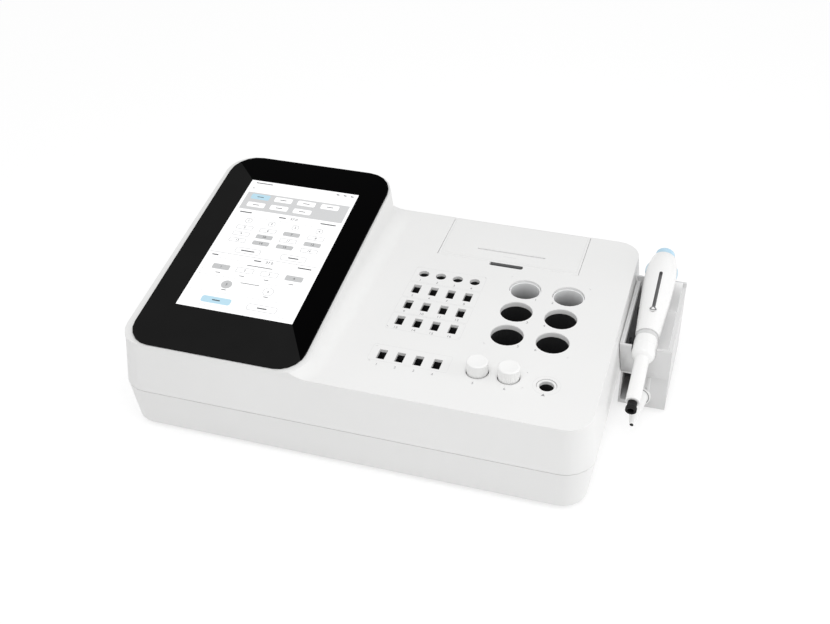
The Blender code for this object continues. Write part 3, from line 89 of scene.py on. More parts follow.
# Middles of the wells and bores
WELL_X = [18.6 + 15.75 * column for column in range(4)]
WELL_Y = [10.7 - 23.7 * row for row in range(3)]
BALL_Y = 34.6
TEST_Y = -84.8
CAPS_X = (99.8, 125.8)
BORE_X = (111.6, 150.4)
BORE_Y = [35.6 - 33.75 * row for row in range(3)]
MIXING = (157.2, -86.5)
MIXING_ARROW = (156.9, -98.4)

# Room in the holder's tray, where the holder's material has painted light
TRAY_X = (209.0, 243.0)
TRAY_Y = (2.0, 96.0)
TRAY_FLOOR = 43.9

# The pipette's axis, from the end of its tip seat
PIPETTE_TILT = radians(10)
PIPETTE_ROLL = radians(3)
PIPETTE_START = (223.0, -64.4, 67.7 - 64.4 * sin(PIPETTE_TILT) / cos(PIPETTE_TILT))

# Places along that axis, and the barrel's slope along the slider's slot with its radius at the
# slot's start. The pipette's profiles are points of (radius, place along the axis).
BARREL_START = 84.0
WHEEL_AT = BARREL_START + 79.5
SLOT_START = BARREL_START + 18.5
SLOT_SLOPE = atan2(3.5, 68.0)
SLOT_RADIUS = 10.3 + 3.5 * 18.5 / 68.0


# ---------------------------------------------------------------- surfaces

def placed(points):
    """Millimetres from the middle of the case, made metres in the frame."""
    return (np.asarray(points, float) + (SHIFT, 0.0, 0.0)) * MM


def on_glass(flat, lift):
    """Points (across, up the slope) on the glass plane, lifted by lift along its normal."""
    flat = np.asarray(flat, float)
    across, up = flat[:, 0], flat[:, 1]
    slope, rise = cos(GLASS_TILT), sin(GLASS_TILT)
    return np.column_stack((
        GLASS_FRONT[0] + across,
        GLASS_FRONT[1] + up * slope - lift * rise,
        GLASS_FRONT[2] + up * rise + lift * slope,
    ))


def on_deck(flat, lift):
    """Points (x, y) on the flat deck, lifted by lift."""
    flat = np.asarray(flat, float)
    return np.column_stack((flat, np.full(len(flat), DECK + lift)))


def pipette_axes():
    """The pipette's own x, y and z directions: z runs along it, minus y is its top."""
    tilt, roll = PIPETTE_TILT, PIPETTE_ROLL
    x = np.array((1.0, 0.0, 0.0))
    y = np.array((0.0, sin(tilt), -cos(tilt)))
    z = np.array((0.0, cos(tilt), sin(tilt)))
    return np.array((x * cos(roll) + y * sin(roll), y * cos(roll) - x * sin(roll), z))


def on_pipette(points):
    """Points in the pipette's own axes, put in its holder."""
    return np.asarray(points, float) @ pipette_axes() + PIPETTE_START


def on_slot(flat, lift, ahead=0.0):
    """Points (across, along) of the slider's slot, lifted off the barrel, in the pipette's axes."""
    along = SLOT_START + ahead + flat[:, 1] * cos(SLOT_SLOPE) - lift * sin(SLOT_SLOPE)
    out = SLOT_RADIUS + flat[:, 1] * sin(SLOT_SLOPE) + lift * cos(SLOT_SLOPE)
    return np.column_stack((flat[:, 0], -out, along))


def across_pipette(points, place):
    """A lathe's points with its axis turned across the pipette, at a place along it."""
    return points[:, (0, 2, 1)] * (1.0, -1.0, 1.0) + (0.0, 0.0, place)


def grid_faces(rows, columns):
    """Four-sided faces of a grid of rows by columns of points, whose last column meets its first."""
    across = np.arange(columns)
    near = np.arange(rows - 1)[:, None] * columns
    a = near + across
    b = near + (across + 1) % columns
    return np.stack((a, b, b + columns, a + columns), axis=-1).reshape(-1, 4)


def lathe(profile, steps=72, ribs=0, depth=0.0, ribbed=(0.0, 0.0)):
    """A profile of (radius, height) carried round the z axis.

    The point at angle t of a profile point (r, h) is (r cos t, r sin t, h). Between the two heights
    of ribbed, r is drawn in by depth times (1 - cos(ribs t)) / 2, which makes round ribs.
    """
    profile = np.asarray(profile, float)
    turn = np.linspace(0, 2 * pi, steps, endpoint=False)
    radius = np.repeat(profile[:, :1], steps, axis=1)
    height = np.repeat(profile[:, 1:], steps, axis=1)
    if ribs:
        inside = (height >= ribbed[0]) & (height <= ribbed[1])
        radius = radius - np.where(inside, depth * (1 - np.cos(ribs * turn)) / 2, 0.0)
    points = np.stack((radius * np.cos(turn), radius * np.sin(turn), height), axis=-1)
    return points.reshape(-1, 3), grid_faces(len(profile), steps)


def drum(radius, half, steps=96):
    """Points and faces of a plain closed wheel about the z axis."""
    return lathe(((0.0, -half), (radius, -half), (radius, half), (0.0, half)), steps)


def rounded(x0, x1, y0, y1, radius, steps=6):
    """Outline of a rectangle with round corners: quarter circles about the four inner corners."""
    turn = np.linspace(0, pi / 2, steps + 1)
    quarter = np.column_stack((np.cos(turn), np.sin(turn))) * radius
    spin = np.array(((0.0, 1.0), (-1.0, 0.0)))
    middles = ((x1 - radius, y1 - radius), (x0 + radius, y1 - radius),
               (x0 + radius, y0 + radius), (x1 - radius, y0 + radius))
    parts = []
    for middle in middles:
        parts.append(quarter + middle)
        quarter = quarter @ spin
    return np.vstack(parts)


def disc(x, y, radius, steps=28):
    """Outline of a circle."""
    turn = np.linspace(0, 2 * pi, steps, endpoint=False)
    return np.column_stack((x + radius * np.cos(turn), y + radius * np.sin(turn)))


def quarter_arc(x, y, radius, steps=5):
    """Points from the side to the top of a circle: (x + r cos t, y + r sin t)."""
    turn = np.linspace(0, pi / 2, steps)
    return np.column_stack((x + radius * np.cos(turn), y + radius * np.sin(turn)))


def sheet_of(outline):
    """A flat face inside one outline."""
    return outline, [list(range(len(outline)))]


def band_of(outer, inner):
    """A flat band between two outlines with the same number of points."""
    count = len(outer)
    order = np.arange(count)
    after = (order + 1) % count
    faces = np.stack((order, after, after + count, order + count), axis=-1)
    return np.vstack((outer, inner)), faces.tolist()


def frame_line(x0, x1, y0, y1, radius, width):
    """A thin printed line round a rectangle with round corners."""
    return band_of(rounded(x0, x1, y0, y1, radius),
                   rounded(x0 + width, x1 - width, y0 + width, y1 - width, max(radius - width, 0.05)))


def digits(words, x, y, size):
    """Flat faces of a number, centred on a place."""
    curve = bpy.data.curves.new("digits", "FONT")
    curve.body = words
    curve.size = size
    curve.align_x = "CENTER"
    curve.align_y = "CENTER"
    curve.resolution_u = 3
    holder = bpy.data.objects.new("digits", curve)
    bpy.context.scene.collection.objects.link(holder)
    bpy.context.view_layer.update()
    mesh = bpy.data.meshes.new_from_object(holder.evaluated_get(bpy.context.evaluated_depsgraph_get()))
    flat = np.empty(len(mesh.vertices) * 3)
    mesh.vertices.foreach_get("co", flat)
    faces = [list(face.vertices) for face in mesh.polygons]
    bpy.data.objects.remove(holder)
    bpy.data.curves.remove(curve)
    bpy.data.meshes.remove(mesh)
    return flat.reshape(-1, 3)[:, :2] + (x, y), faces


def gather(parts):
    """Several (points, faces) joined into one."""
    points, faces, start = [], [], 0
    for some, those in parts:
        points.append(np.asarray(some, float))
        faces += [[int(i) + start for i in face] for face in those]
        start += len(some)
    return np.vstack(points), faces


# ---------------------------------------------------------------- pieces

def finish(mesh, name, material, body, replaced=(), sharp=35.0):
    """Makes a mesh a piece that rides on a body and stands for the nodes it replaces."""
    made = bpy.data.objects.new(name, mesh)
    bpy.context.scene.collection.objects.link(made)
    mesh.materials.append(material)
    mesh.shade_smooth()
    mesh.set_sharp_from_angle(angle=radians(sharp))
    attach(made, body)
    if replaced:
        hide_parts(*replaced)
    return made


def closed_mesh(name, points, faces):
    """A closed mesh from points in millimetres. Poles are merged and faces turned outwards."""
    mesh = bpy.data.meshes.new(name)
    mesh.from_pydata(placed(points).tolist(), [], [list(map(int, face)) for face in faces])
    work = bmesh.new()
    work.from_mesh(mesh)
    bmesh.ops.remove_doubles(work, verts=work.verts, dist=1e-7)
    open_edges = [edge for edge in work.edges if edge.is_boundary]
    if open_edges:
        bmesh.ops.holes_fill(work, edges=open_edges)
    bmesh.ops.recalc_face_normals(work, faces=work.faces)
    work.to_mesh(mesh)
    work.free()
    return mesh


def solid(name, points, faces, material, body, replaced=()):
    """A closed piece from points in millimetres."""
    return finish(closed_mesh(name, points, faces), name, material, body, replaced)


def thicken(made, thickness, offset):
    """Gives a sheet a thickness in millimetres, on its back for offset -1, on both sides for 0."""
    thick = made.modifiers.new("Thickness", "SOLIDIFY")
    thick.thickness = thickness * MM
    thick.offset = offset


def printed(name, parts, surface, lift, material, body, thickness=0.04):
    """Thin printed or inlaid shapes on a surface, given as flat parts."""
    flat, faces = gather(parts)
    mesh = bpy.data.meshes.new(name)
    mesh.from_pydata(placed(surface(flat, lift)).tolist(), [], faces)
    work = bmesh.new()
    work.from_mesh(mesh)
    work.normal_update()
    down = [face for face in work.faces if face.normal.z < 0]
    if down:
        bmesh.ops.reverse_faces(work, faces=down)
    work.to_mesh(mesh)
    work.free()
    made = finish(mesh, name, material, body)
    mesh.shade_flat()
    thicken(made, thickness, -1.0)


def merged(*nodes):
    """One mesh of some CAD nodes, with its corners merged and its flat faces joined."""
    work = bmesh.new()
    for node in nodes:
        work.from_mesh(frame["nodes"][node].data)
    bmesh.ops.remove_doubles(work, verts=work.verts, dist=1e-6)
    join_flat(work)
    return work


def join_flat(work):
    """Joins faces that lie in one plane."""
    bmesh.ops.dissolve_limit(work, angle_limit=radians(0.4), verts=work.verts, edges=work.edges)


def soften(work, radius, pick=None, segments=3, least=35.0):
    """Rounds the sharp edges that pick accepts by radius, in millimetres."""
    edges = []
    for edge in work.edges:
        if len(edge.link_faces) != 2 or edge.calc_face_angle(0.0) < radians(least):
            continue
        middle = (edge.verts[0].co + edge.verts[1].co) / (2 * MM)
        if pick is None or pick(middle.x - SHIFT, middle.y, middle.z, edge):
            edges.append(edge)
    if edges:
        bmesh.ops.bevel(work, geom=edges, offset=radius * MM, offset_type="OFFSET", segments=segments,
                        profile=0.5, affect="EDGES", clamp_overlap=True)


def dressed(name, work, material, body, replaced):
    """A softened copy of CAD nodes, as a piece whose flat faces stay flat."""
    mesh = bpy.data.meshes.new(name)
    work.to_mesh(mesh)
    work.free()
    made = finish(mesh, name, material, body, replaced, 40.0)
    made.modifiers.new("Flat faces", "WEIGHTED_NORMAL").keep_sharp = True


def carve(target, cutters):
    """Cuts target by each cutter for good. A face that a cutter leaves keeps its material."""
    for item in cutters:
        cutting = target.modifiers.new(item.name, "BOOLEAN")
        cutting.object = item
        cutting.operation = "DIFFERENCE"
        cutting.solver = "EXACT"
        cutting.material_mode = "TRANSFER"
    bpy.context.view_layer.update()
    evaluated = target.evaluated_get(bpy.context.evaluated_depsgraph_get())
    mesh = bpy.data.meshes.new_from_object(evaluated)
    target.modifiers.clear()
    target.data = mesh
    mesh.shade_smooth()
    mesh.set_sharp_from_angle(angle=radians(35))
    for item in cutters:
        bpy.data.objects.remove(item)


def cutter(name, points, faces, material):
    """A closed cutter for carve, from points in millimetres."""
    mesh = closed_mesh(name, points, faces)
    mesh.materials.append(material)
    made = bpy.data.objects.new(name, mesh)
    bpy.context.scene.collection.objects.link(made)
    return made


def block(low, high):
    """Points and faces of a closed box."""
    x0, y0, z0 = low
    x1, y1, z1 = high
    points = np.array([(x, y, z) for z in (z0, z1) for y in (y0, y1) for x in (x0, x1)], float)
    return points, [[0, 2, 3, 1], [4, 5, 7, 6], [0, 1, 5, 4], [1, 3, 7, 5], [3, 2, 6, 7], [2, 0, 4, 6]]


# ---------------------------------------------------------------- materials

class Nodes:
    """Adds nodes to one tree and links them."""

    def __init__(self, tree):
        self.tree = tree

    def add(self, kind, **values):
        node = self.tree.nodes.new(kind)
        for key, value in values.items():
            setattr(node, key, value)
        return node

    def link(self, source, target):
        self.tree.links.new(source, target)

    def feed(self, socket, value):
        """Links a socket to value if that is a socket too, or else sets it to value."""
        if isinstance(value, bpy.types.NodeSocket):
            self.link(value, socket)
        else:
            socket.default_value = value

    def math(self, operation, first, second):
        node = self.add("ShaderNodeMath", operation=operation)
        self.feed(node.inputs[0], first)
        self.feed(node.inputs[1], second)
        return node.outputs["Value"]

    def seen_by(self, *rays):
        """1 for the first or the second of two kinds of ray, and 0 for all others."""
        path = self.add("ShaderNodeLightPath")
        return self.math("MAXIMUM", *(path.outputs[ray] for ray in rays))


class MaterialNodes(Nodes):
    """The nodes of one new material. Patterns lie on the object coordinates, in metres."""

    def __init__(self, name):
        self.material = bpy.data.materials.new(name)
        self.material.use_nodes = True
        super().__init__(self.material.node_tree)
        self.shader = self.tree.nodes["Principled BSDF"]
        self.place = self.tree.nodes.new("ShaderNodeTexCoord").outputs["Object"]

    def set(self, **values):
        """Sets or links inputs of the shader, with _ for a space in an input's name."""
        for key, value in values.items():
            self.feed(self.shader.inputs[key.replace("_", " ")], value)

    def axes(self):
        """The sockets of x, y and z, under "X", "Y" and "Z"."""
        node = self.add("ShaderNodeSeparateXYZ")
        self.link(self.place, node.inputs["Vector"])
        return node.outputs

    def noise(self, scale, detail=3.0, stretch=None):
        """Cloudy noise, around 0.5. stretch scales it by axis."""
        node = self.add("ShaderNodeTexNoise")
        node.inputs["Scale"].default_value = scale
        node.inputs["Detail"].default_value = detail
        source = self.place
        if stretch:
            turn = self.add("ShaderNodeMapping")
            turn.inputs["Scale"].default_value = stretch
            self.link(source, turn.inputs["Vector"])
            source = turn.outputs["Vector"]
        self.link(source, node.inputs["Vector"])
        return node.outputs["Fac"]

    def spread(self, source, low, high):
        """Maps the middle of a noise's range, 0.3 to 0.7, to low and high."""
        node = self.add("ShaderNodeMapRange")
        node.inputs["From Min"].default_value = 0.3
        node.inputs["From Max"].default_value = 0.7
        node.inputs["To Min"].default_value = low
        node.inputs["To Max"].default_value = high
        self.link(source, node.inputs["Value"])
        return node.outputs["Result"]

    def blend(self, factor, first, second):
        """A colour between two, each given as three numbers or a socket."""
        node = self.add("ShaderNodeMix", data_type="RGBA")
        self.link(factor, node.inputs["Factor"])
        for key, value in (("A", first), ("B", second)):
            self.feed(node.inputs[key], (*value, 1.0) if isinstance(value, tuple) else value)
        return node.outputs["Result"]

    def mottled(self, scale, colour, share):
        """A colour that changes slowly between itself and a shade of itself."""
        return self.blend(self.spread(self.noise(scale), 0.0, 1.0), shade(colour, share), colour)

    def bump(self, source, strength, distance):
        """Raises the surface by a pattern, distance in millimetres."""
        node = self.add("ShaderNodeBump")
        node.inputs["Strength"].default_value = strength
        node.inputs["Distance"].default_value = distance * MM
        self.link(source, node.inputs["Height"])
        self.set(Normal=node.outputs["Normal"])

    def grain(self, scale, low, high, strength, distance):
        """A fine grain that varies the roughness from low to high and raises the surface."""
        grainy = self.noise(scale, 2.0)
        self.set(Roughness=self.spread(grainy, low, high))
        self.bump(grainy, strength, distance)


def shade(colour, share):
    """A colour made darker or lighter by a share."""
    return tuple(max(0.0, min(1.0, part * share)) for part in colour)


def moulded(name, colour, roughness=0.4, grain=1400.0, mottle=0.015, bump=0.12, specular=0.5, coat=0.0):
    """Moulded plastic: a fine grain in the surface, slow changes of tone, uneven gloss."""
    nodes = MaterialNodes(name)
    nodes.set(Base_Color=nodes.mottled(14.0, colour, 1 - mottle), Specular_IOR_Level=specular,
              Coat_Weight=coat)
    nodes.grain(grain, roughness - 0.04, roughness + 0.05, bump, 0.03)
    return nodes.material


def brushed(name, colour, roughness=0.32, direction=(20.0, 900.0, 900.0)):
    """Drawn metal: fine lines along one direction."""
    nodes = MaterialNodes(name)
    lines = nodes.noise(1.0, 4.0, direction)
    tone = nodes.blend(nodes.spread(lines, 0.0, 1.0), shade(colour, 0.86), shade(colour, 1.06))
    nodes.set(Base_Color=tone,
              Roughness=nodes.spread(lines, roughness - 0.06, roughness + 0.08), Metallic=1.0)
    nodes.bump(lines, 0.1, 0.02)
    return nodes.material


def cover_glass(name, colour, reflection_colour):
    """Black glass. Its left and front borders are a shade paler, a painted reflection.

    The left border ends at a slanted line through the screen's back left corner, the front border
    at one through its front right corner.
    """
    nodes = MaterialNodes(name)
    left = SHIFT + GLASS_FRONT[0] + SCREEN_MIDDLE - SCREEN_SIZE[0] / 2
    right = left + SCREEN_SIZE[0]
    front = GLASS_FRONT[1] + SCREEN_FRONT * cos(GLASS_TILT)
    back = front + SCREEN_SIZE[1] * cos(GLASS_TILT)
    lap = 1.0
    left_slant, front_slant = 1.03, 0.594
    axes = nodes.axes()

    def under(weight_x, weight_y, limit):
        """1 where weight_x x + weight_y y is under a limit, in millimetres."""
        total = nodes.math("ADD", nodes.math("MULTIPLY", axes["X"], weight_x),
                           nodes.math("MULTIPLY", axes["Y"], weight_y))
        return nodes.math("LESS_THAN", total, limit * MM)

    on_left = nodes.math("MULTIPLY", under(1.0, 0.0, left + lap),
                         under(left_slant, 1.0, back + left_slant * left))
    on_front = nodes.math("MULTIPLY", under(0.0, 1.0, front + lap),
                          under(1.0, front_slant, right + front_slant * front))
    # Painted reflection: the left and front borders get the paler colour.
    nodes.set(
        Base_Color=nodes.blend(nodes.math("MAXIMUM", on_left, on_front), nodes.mottled(9.0, colour, 0.8),
                               nodes.mottled(30.0, reflection_colour, 0.9)),
        Roughness=nodes.spread(nodes.noise(60.0, 4.0), 0.06, 0.1), Specular_IOR_Level=0.015)
    return nodes.material


def lit(name, colour, strength):
    """A lit part of the display: its dots shine evenly, with a very fine grid of pixels."""
    nodes = MaterialNodes(name)
    tone = nodes.blend(nodes.spread(nodes.noise(5200.0, 0.0), 0.0, 1.0), shade(colour, 0.985), colour)
    nodes.set(Base_Color=tone, Emission_Color=tone, Emission_Strength=strength, Roughness=0.35,
              Specular_IOR_Level=0.05)
    return nodes.material


def holder_painted_light(name, colour, inner):
    """Moulded plastic with painted light inside the tray: there its colour is paler and it glows faintly
    white.
    """
    # Painted light: the strength of the white glow inside the tray.
    painted_glow = 0.14
    nodes = MaterialNodes(name)
    axes = nodes.axes()
    inside = nodes.math("GREATER_THAN", axes["Z"], TRAY_FLOOR * MM)
    for axis, low, high in (("X", TRAY_X[0] + SHIFT, TRAY_X[1] + SHIFT), ("Y", *TRAY_Y)):
        inside = nodes.math("MULTIPLY", inside, nodes.math("GREATER_THAN", axes[axis], low * MM))
        inside = nodes.math("MULTIPLY", inside, nodes.math("LESS_THAN", axes[axis], high * MM))
    # Painted light: the paler inner colour and the glow go only where inside is 1.
    nodes.set(Base_Color=nodes.blend(inside, nodes.mottled(14.0, colour, 0.97), inner),
              Emission_Color=(1.0, 1.0, 1.0, 1.0),
              Emission_Strength=nodes.math("MULTIPLY", inside, painted_glow), Specular_IOR_Level=0.3)
    nodes.grain(1200.0, 0.45, 0.55, 0.15, 0.03)
    return nodes.material


def cup_painted_shade(name, colour, painted_shade_colour, top, depth):
    """Milky plastic with painted shade: it darkens with depth, from a height in millimetres down, standing
    in for the shade in the bores, so it also shows when a cup is lifted out.
    """
    nodes = MaterialNodes(name)
    painted_shade_ramp = nodes.add("ShaderNodeMapRange")
    painted_shade_ramp.inputs["From Min"].default_value = top * MM
    painted_shade_ramp.inputs["From Max"].default_value = (top - depth) * MM
    nodes.link(nodes.axes()["Z"], painted_shade_ramp.inputs["Value"])
    # Painted shade: the colour goes to the dark colour with depth below the top.
    nodes.set(Base_Color=nodes.blend(painted_shade_ramp.outputs["Result"], nodes.mottled(40.0, colour, 0.97), painted_shade_colour))
    nodes.grain(900.0, 0.33, 0.42, 0.06, 0.02)
    return nodes.material


def board_finish(name, colour):
    """A circuit board: green lacquer over darker tracks in steps."""
    nodes = MaterialNodes(name)
    cells = nodes.add("ShaderNodeTexBrick")
    cells.inputs["Scale"].default_value = 160.0
    cells.inputs["Color1"].default_value = (*colour, 1.0)
    cells.inputs["Color2"].default_value = (*shade(colour, 0.8), 1.0)
    cells.inputs["Mortar"].default_value = (*shade(colour, 1.7), 1.0)
    cells.inputs["Mortar Size"].default_value = 0.01
    nodes.link(nodes.place, cells.inputs["Vector"])
    nodes.set(Base_Color=cells.outputs["Color"], Roughness=nodes.spread(nodes.noise(300.0), 0.3, 0.42))
    nodes.bump(cells.outputs["Fac"], 0.2, 0.04)
    return nodes.material


def banded(name, colour, pale, scale, direction, metallic=0.0):
    """Windings or heater tracks: bands across one direction."""
    nodes = MaterialNodes(name)
    waves = nodes.add("ShaderNodeTexWave", bands_direction=direction)
    waves.inputs["Scale"].default_value = scale
    waves.inputs["Distortion"].default_value = 0.4
    nodes.link(nodes.place, waves.inputs["Vector"])
    bands = waves.outputs["Fac"]
    nodes.set(Base_Color=nodes.blend(bands, colour, pale), Roughness=nodes.spread(bands, 0.3, 0.45),
              Metallic=metallic)
    nodes.bump(bands, 0.4, 0.1)
    return nodes.material


def finishes(settings):
    """One material for every material slot of the record, and for the pieces that the record lacks."""
    white = tuple(settings.case_colour)
    blue = tuple(settings.accent_colour)
    grey = tuple(settings.holder_colour)
    recipes = {
        "matte_white": (moulded, "case_plastic", white, 0.42),
        # glass_black: the glass's colour, then the paler colour of its painted reflection on the left and
        # front borders.
        "glass_black": (cover_glass, "cover_glass", (0.0004, 0.0004, 0.0005), (0.0125, 0.0125, 0.0125)),
        "display_grey": (brushed, "display_back", (0.42, 0.44, 0.46)),
        "block_black": (moulded, "black_block", (0.03, 0.03, 0.031), 0.5, 1800.0, 0.2, 0.2, 0.25),
        # cup_white: the dark colour, top and depth give the cups' painted shade.
        "cup_white": (cup_painted_shade, "cup_plastic", (0.9, 0.905, 0.91), (0.06, 0.06, 0.06), 83.5, 25.0),
        "cap_white": (moulded, "cap_plastic", (0.9, 0.9, 0.895), 0.36, 1500.0, 0.012, 0.1),
        "steel": (brushed, "zinc_steel", (0.58, 0.59, 0.6)),
        "board": (board_finish, "circuit_board", (0.015, 0.14, 0.06)),
        "grey": (moulded, "inner_grey", (0.2, 0.205, 0.21), 0.55, 1300.0, 0.06, 0.2),
        "black": (moulded, "black_plastic", (0.014, 0.014, 0.015), 0.45, 1300.0, 0.15, 0.2, 0.4),
        "copper": (banded, "copper_winding", (0.5, 0.2, 0.08), (0.8, 0.42, 0.22), 900.0, "Y", 1.0),
        "paper": (moulded, "thermal_paper", (0.86, 0.855, 0.83), 0.85, 2600.0, 0.03, 0.3, 0.2),
        "rubber": (moulded, "black_rubber", (0.008, 0.008, 0.008), 0.7, 900.0, 0.25, 0.3, 0.3),
        # holder_grey: the holder's colour, then the paler colour of its painted light inside the tray.
        "holder_grey": (holder_painted_light, "holder_plastic", grey, (0.95, 0.95, 0.95)),
        "pipette_white": (moulded, "pipette_plastic", (0.9, 0.9, 0.895), 0.3, 1600.0, 0.01, 0.05, 0.5,
                          0.15),
        "light_blue": (moulded, "blue_plastic", blue, 0.34, 1400.0, 0.04, 0.06, 0.5, 0.1),
        "ring_grey": (moulded, "ring_plastic", (0.69, 0.69, 0.69), 0.42, 1400.0, 0.03, 0.08),
        "heater": (banded, "heater_mat_finish", (0.7, 0.24, 0.05), (0.82, 0.36, 0.12), 260.0, "X"),
        "ink": (moulded, "mark_ink", (0.36, 0.36, 0.37), 0.6, 2000.0, 0.1, 0.05, 0.2),
        "pale_ink": (moulded, "mark_line", (0.775, 0.775, 0.775), 0.6, 2000.0, 0.05, 0.05, 0.2),
        # dark: the sheet of painted shade in the holder's tray.
        "dark": (moulded, "dark_lining", (0.1, 0.1, 0.102), 0.6, 1200.0, 0.2, 0.15, 0.25),
        "pale_blue": (moulded, "wheel_plastic", (0.66, 0.8, 0.88), 0.34, 1400.0, 0.04, 0.06, 0.5, 0.1),
        # slot: dark grey for the lines round the slider and the tip's collar, and painted shade on the
        # finger slot's sheet and the cut walls of the pipette's slot and wheel pocket.
        "slot": (moulded, "slot_lining", (0.24, 0.24, 0.245), 0.5, 1200.0, 0.1, 0.1, 0.3),
        "screen": (lit, "screen_white", (0.94, 0.94, 0.945), 0.2),
        "screen_band": (lit, "screen_band", (0.64, 0.645, 0.65), 0.07),
        "screen_grey": (lit, "screen_grey", (0.56, 0.565, 0.57), 0.06),
        "screen_line": (lit, "screen_line", (0.56, 0.565, 0.57), 0.05),
        "screen_ink": (lit, "screen_ink", (0.1, 0.105, 0.11), 0.02),
        "screen_blue": (lit, "screen_blue", (0.5, 0.72, 0.84), 0.08),
    }
    return {key: bpy.data.materials.get(name) or maker(name, *values)
            for key, (maker, name, *values) in recipes.items()}


# ---------------------------------------------------------------- case

def near_outline(x, y, inset, reach):
    """Whether a place is within reach of the case's rounded outline, drawn in by inset."""
    radius = CASE_CORNER - inset
    over_x = abs(x) - (CASE_HALF[0] - inset - radius)
    over_y = abs(y) - (CASE_HALF[1] - inset - radius)
    if over_x > 0 and over_y > 0:
        away = hypot(over_x, over_y) - radius
    else:
        away = max(over_x, over_y) - radius
    return abs(away) < reach


def head_top(y):
    """Height of the glass plane above a place."""
    return GLASS_FRONT[2] + (y - GLASS_FRONT[1]) * sin(GLASS_TILT) / cos(GLASS_TILT)


def close_seams(work, covers):
    """Draws the deck's edges onto the cover plates that lie flush in it, and joins them there.

    A plate's own corners are those within rim of its sides. A corner of the deck goes to the
    nearest of them if that is closer than seam, and the walls that then lie in the joint go.
    """
    slack, rim, seam = 0.1 * MM, 3.2 * MM, 0.45 * MM
    boxes = [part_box(node) for node in covers]

    def on_rim(place):
        """Whether a place is near the side of a cover plate."""
        for low, high in boxes:
            inside = all(low[i] - slack < place[i] < high[i] + slack for i in (0, 1))
            if inside and min(abs(place[i] - side[i]) for i in (0, 1) for side in (low, high)) < rim:
                return True
        return False

    plates = [vert for vert in work.verts if on_rim(vert.co)]
    spots = np.array([vert.co[:] for vert in plates])
    own = set(plates)
    moved = set()
    for vert in work.verts:
        if vert in own or vert.co.z < (UNDER_DECK - 0.1) * MM:
            continue
        away = np.abs(spots - np.array(vert.co[:])).max(axis=1)
        nearest = int(away.argmin())
        if away[nearest] < seam:
            vert.co = plates[nearest].co
            moved.update((vert, plates[nearest]))
    doomed = [face for face in work.faces
              if abs(face.normal.z) < 0.2 and all(vert in moved for vert in face.verts)]
    bmesh.ops.delete(work, geom=doomed, context="FACES_ONLY")
    bmesh.ops.remove_doubles(work, verts=work.verts, dist=2e-6)
    join_flat(work)


def make_case(settings, looks):
    """The upper shell with its cover plates as one deck, and the lower shell, with soft edges."""
    lid_sides = (19.5, 153.5)
    crease_top = DECK + 14
    foot_top = 4.6
    work = merged("upper_shell", *COVERS)
    close_seams(work, COVERS)

    def deck_edge(x, y, z, edge):
        clear_of_lid = y < 0 or not lid_sides[0] < x < lid_sides[1]
        on_wall = near_outline(x, y, CASE_LEAN * (z - PARTING), 0.9)
        return DECK - 0.05 < z < crease_top and x > -60 and clear_of_lid and on_wall

    def head_rim(x, y, z, edge):
        return x < -30 and abs(z - head_top(y) + 2.0) < 1.2 and z > DECK + 2 and edge.calc_length() > 0.0005

    def well_rim(x, y, z, edge):
        return abs(z - DECK) < 0.02 and 5 < x < 175 and -100 < y < 56

    def lower_edge(x, y, z, edge):
        on_parting = abs(z - LOWER_TOP) < 0.02 and near_outline(x, y, 0.0, 0.5)
        return on_parting or z < foot_top and abs(x) > 175

    soften(work, settings.edge_radius, deck_edge, 5, 14.0)
    soften(work, 0.9, head_rim, 3)
    soften(work, 0.35, well_rim, 2)
    dressed("upper_case", work, looks["matte_white"], ROOT, ("upper_shell", *COVERS))
    work = merged("lower_shell")
    soften(work, 0.5, lower_edge, 2)
    dressed("lower_case", work, looks["matte_white"], ROOT, ("lower_shell",))


# ---------------------------------------------------------------- screen

def screen_place(share_x, share_y):
    """A place on the screen from its shares across and down from the back left corner.

    Rows in the middle sit lower, by 0.03 sin(pi share_y) of the screen.
    """
    down = share_y + 0.03 * sin(pi * share_y)
    return (SCREEN_MIDDLE + (share_x - 0.5) * SCREEN_SIZE[0],
            SCREEN_FRONT + (1 - down) * SCREEN_SIZE[1])


def sides(share_x, share_y, width, height):
    """The two x and the two y of a box round a place on the screen."""
    x, y = screen_place(share_x, share_y)
    return x - width / 2, x + width / 2, y - height / 2, y + height / 2


def key_top(share_x, share_y, width, height, radius):
    """A round-cornered key on the screen."""
    return sheet_of(rounded(*sides(share_x, share_y, width, height), radius))


def keyline(share_x, share_y, width, height, radius, line=0.5):
    """The outline of a key."""
    return frame_line(*sides(share_x, share_y, width, height), radius, line)


def ring(share_x, share_y, radius, line=0.5):
    """The outline of a round key."""
    x, y = screen_place(share_x, share_y)
    return band_of(disc(x, y, radius), disc(x, y, radius - line))


def rule(share_y, start=0.03, end=0.97, line=0.3):
    """A line across the screen."""
    x0, y = screen_place(start, share_y)
    x1, y = screen_place(end, share_y)
    low, high = y - line / 2, y + line / 2
    return sheet_of(np.array(((x0, low), (x1, low), (x1, high), (x0, high))))


def dash(share_x, share_y, width, height=1.25):
    """A short bar, in place of a word."""
    return sheet_of(rounded(*sides(share_x, share_y, width, height), height * 0.45, 3))


def number(words, share_x, share_y, size=3.6):
    """A number on the screen."""
    return digits(words, *screen_place(share_x, share_y), size)


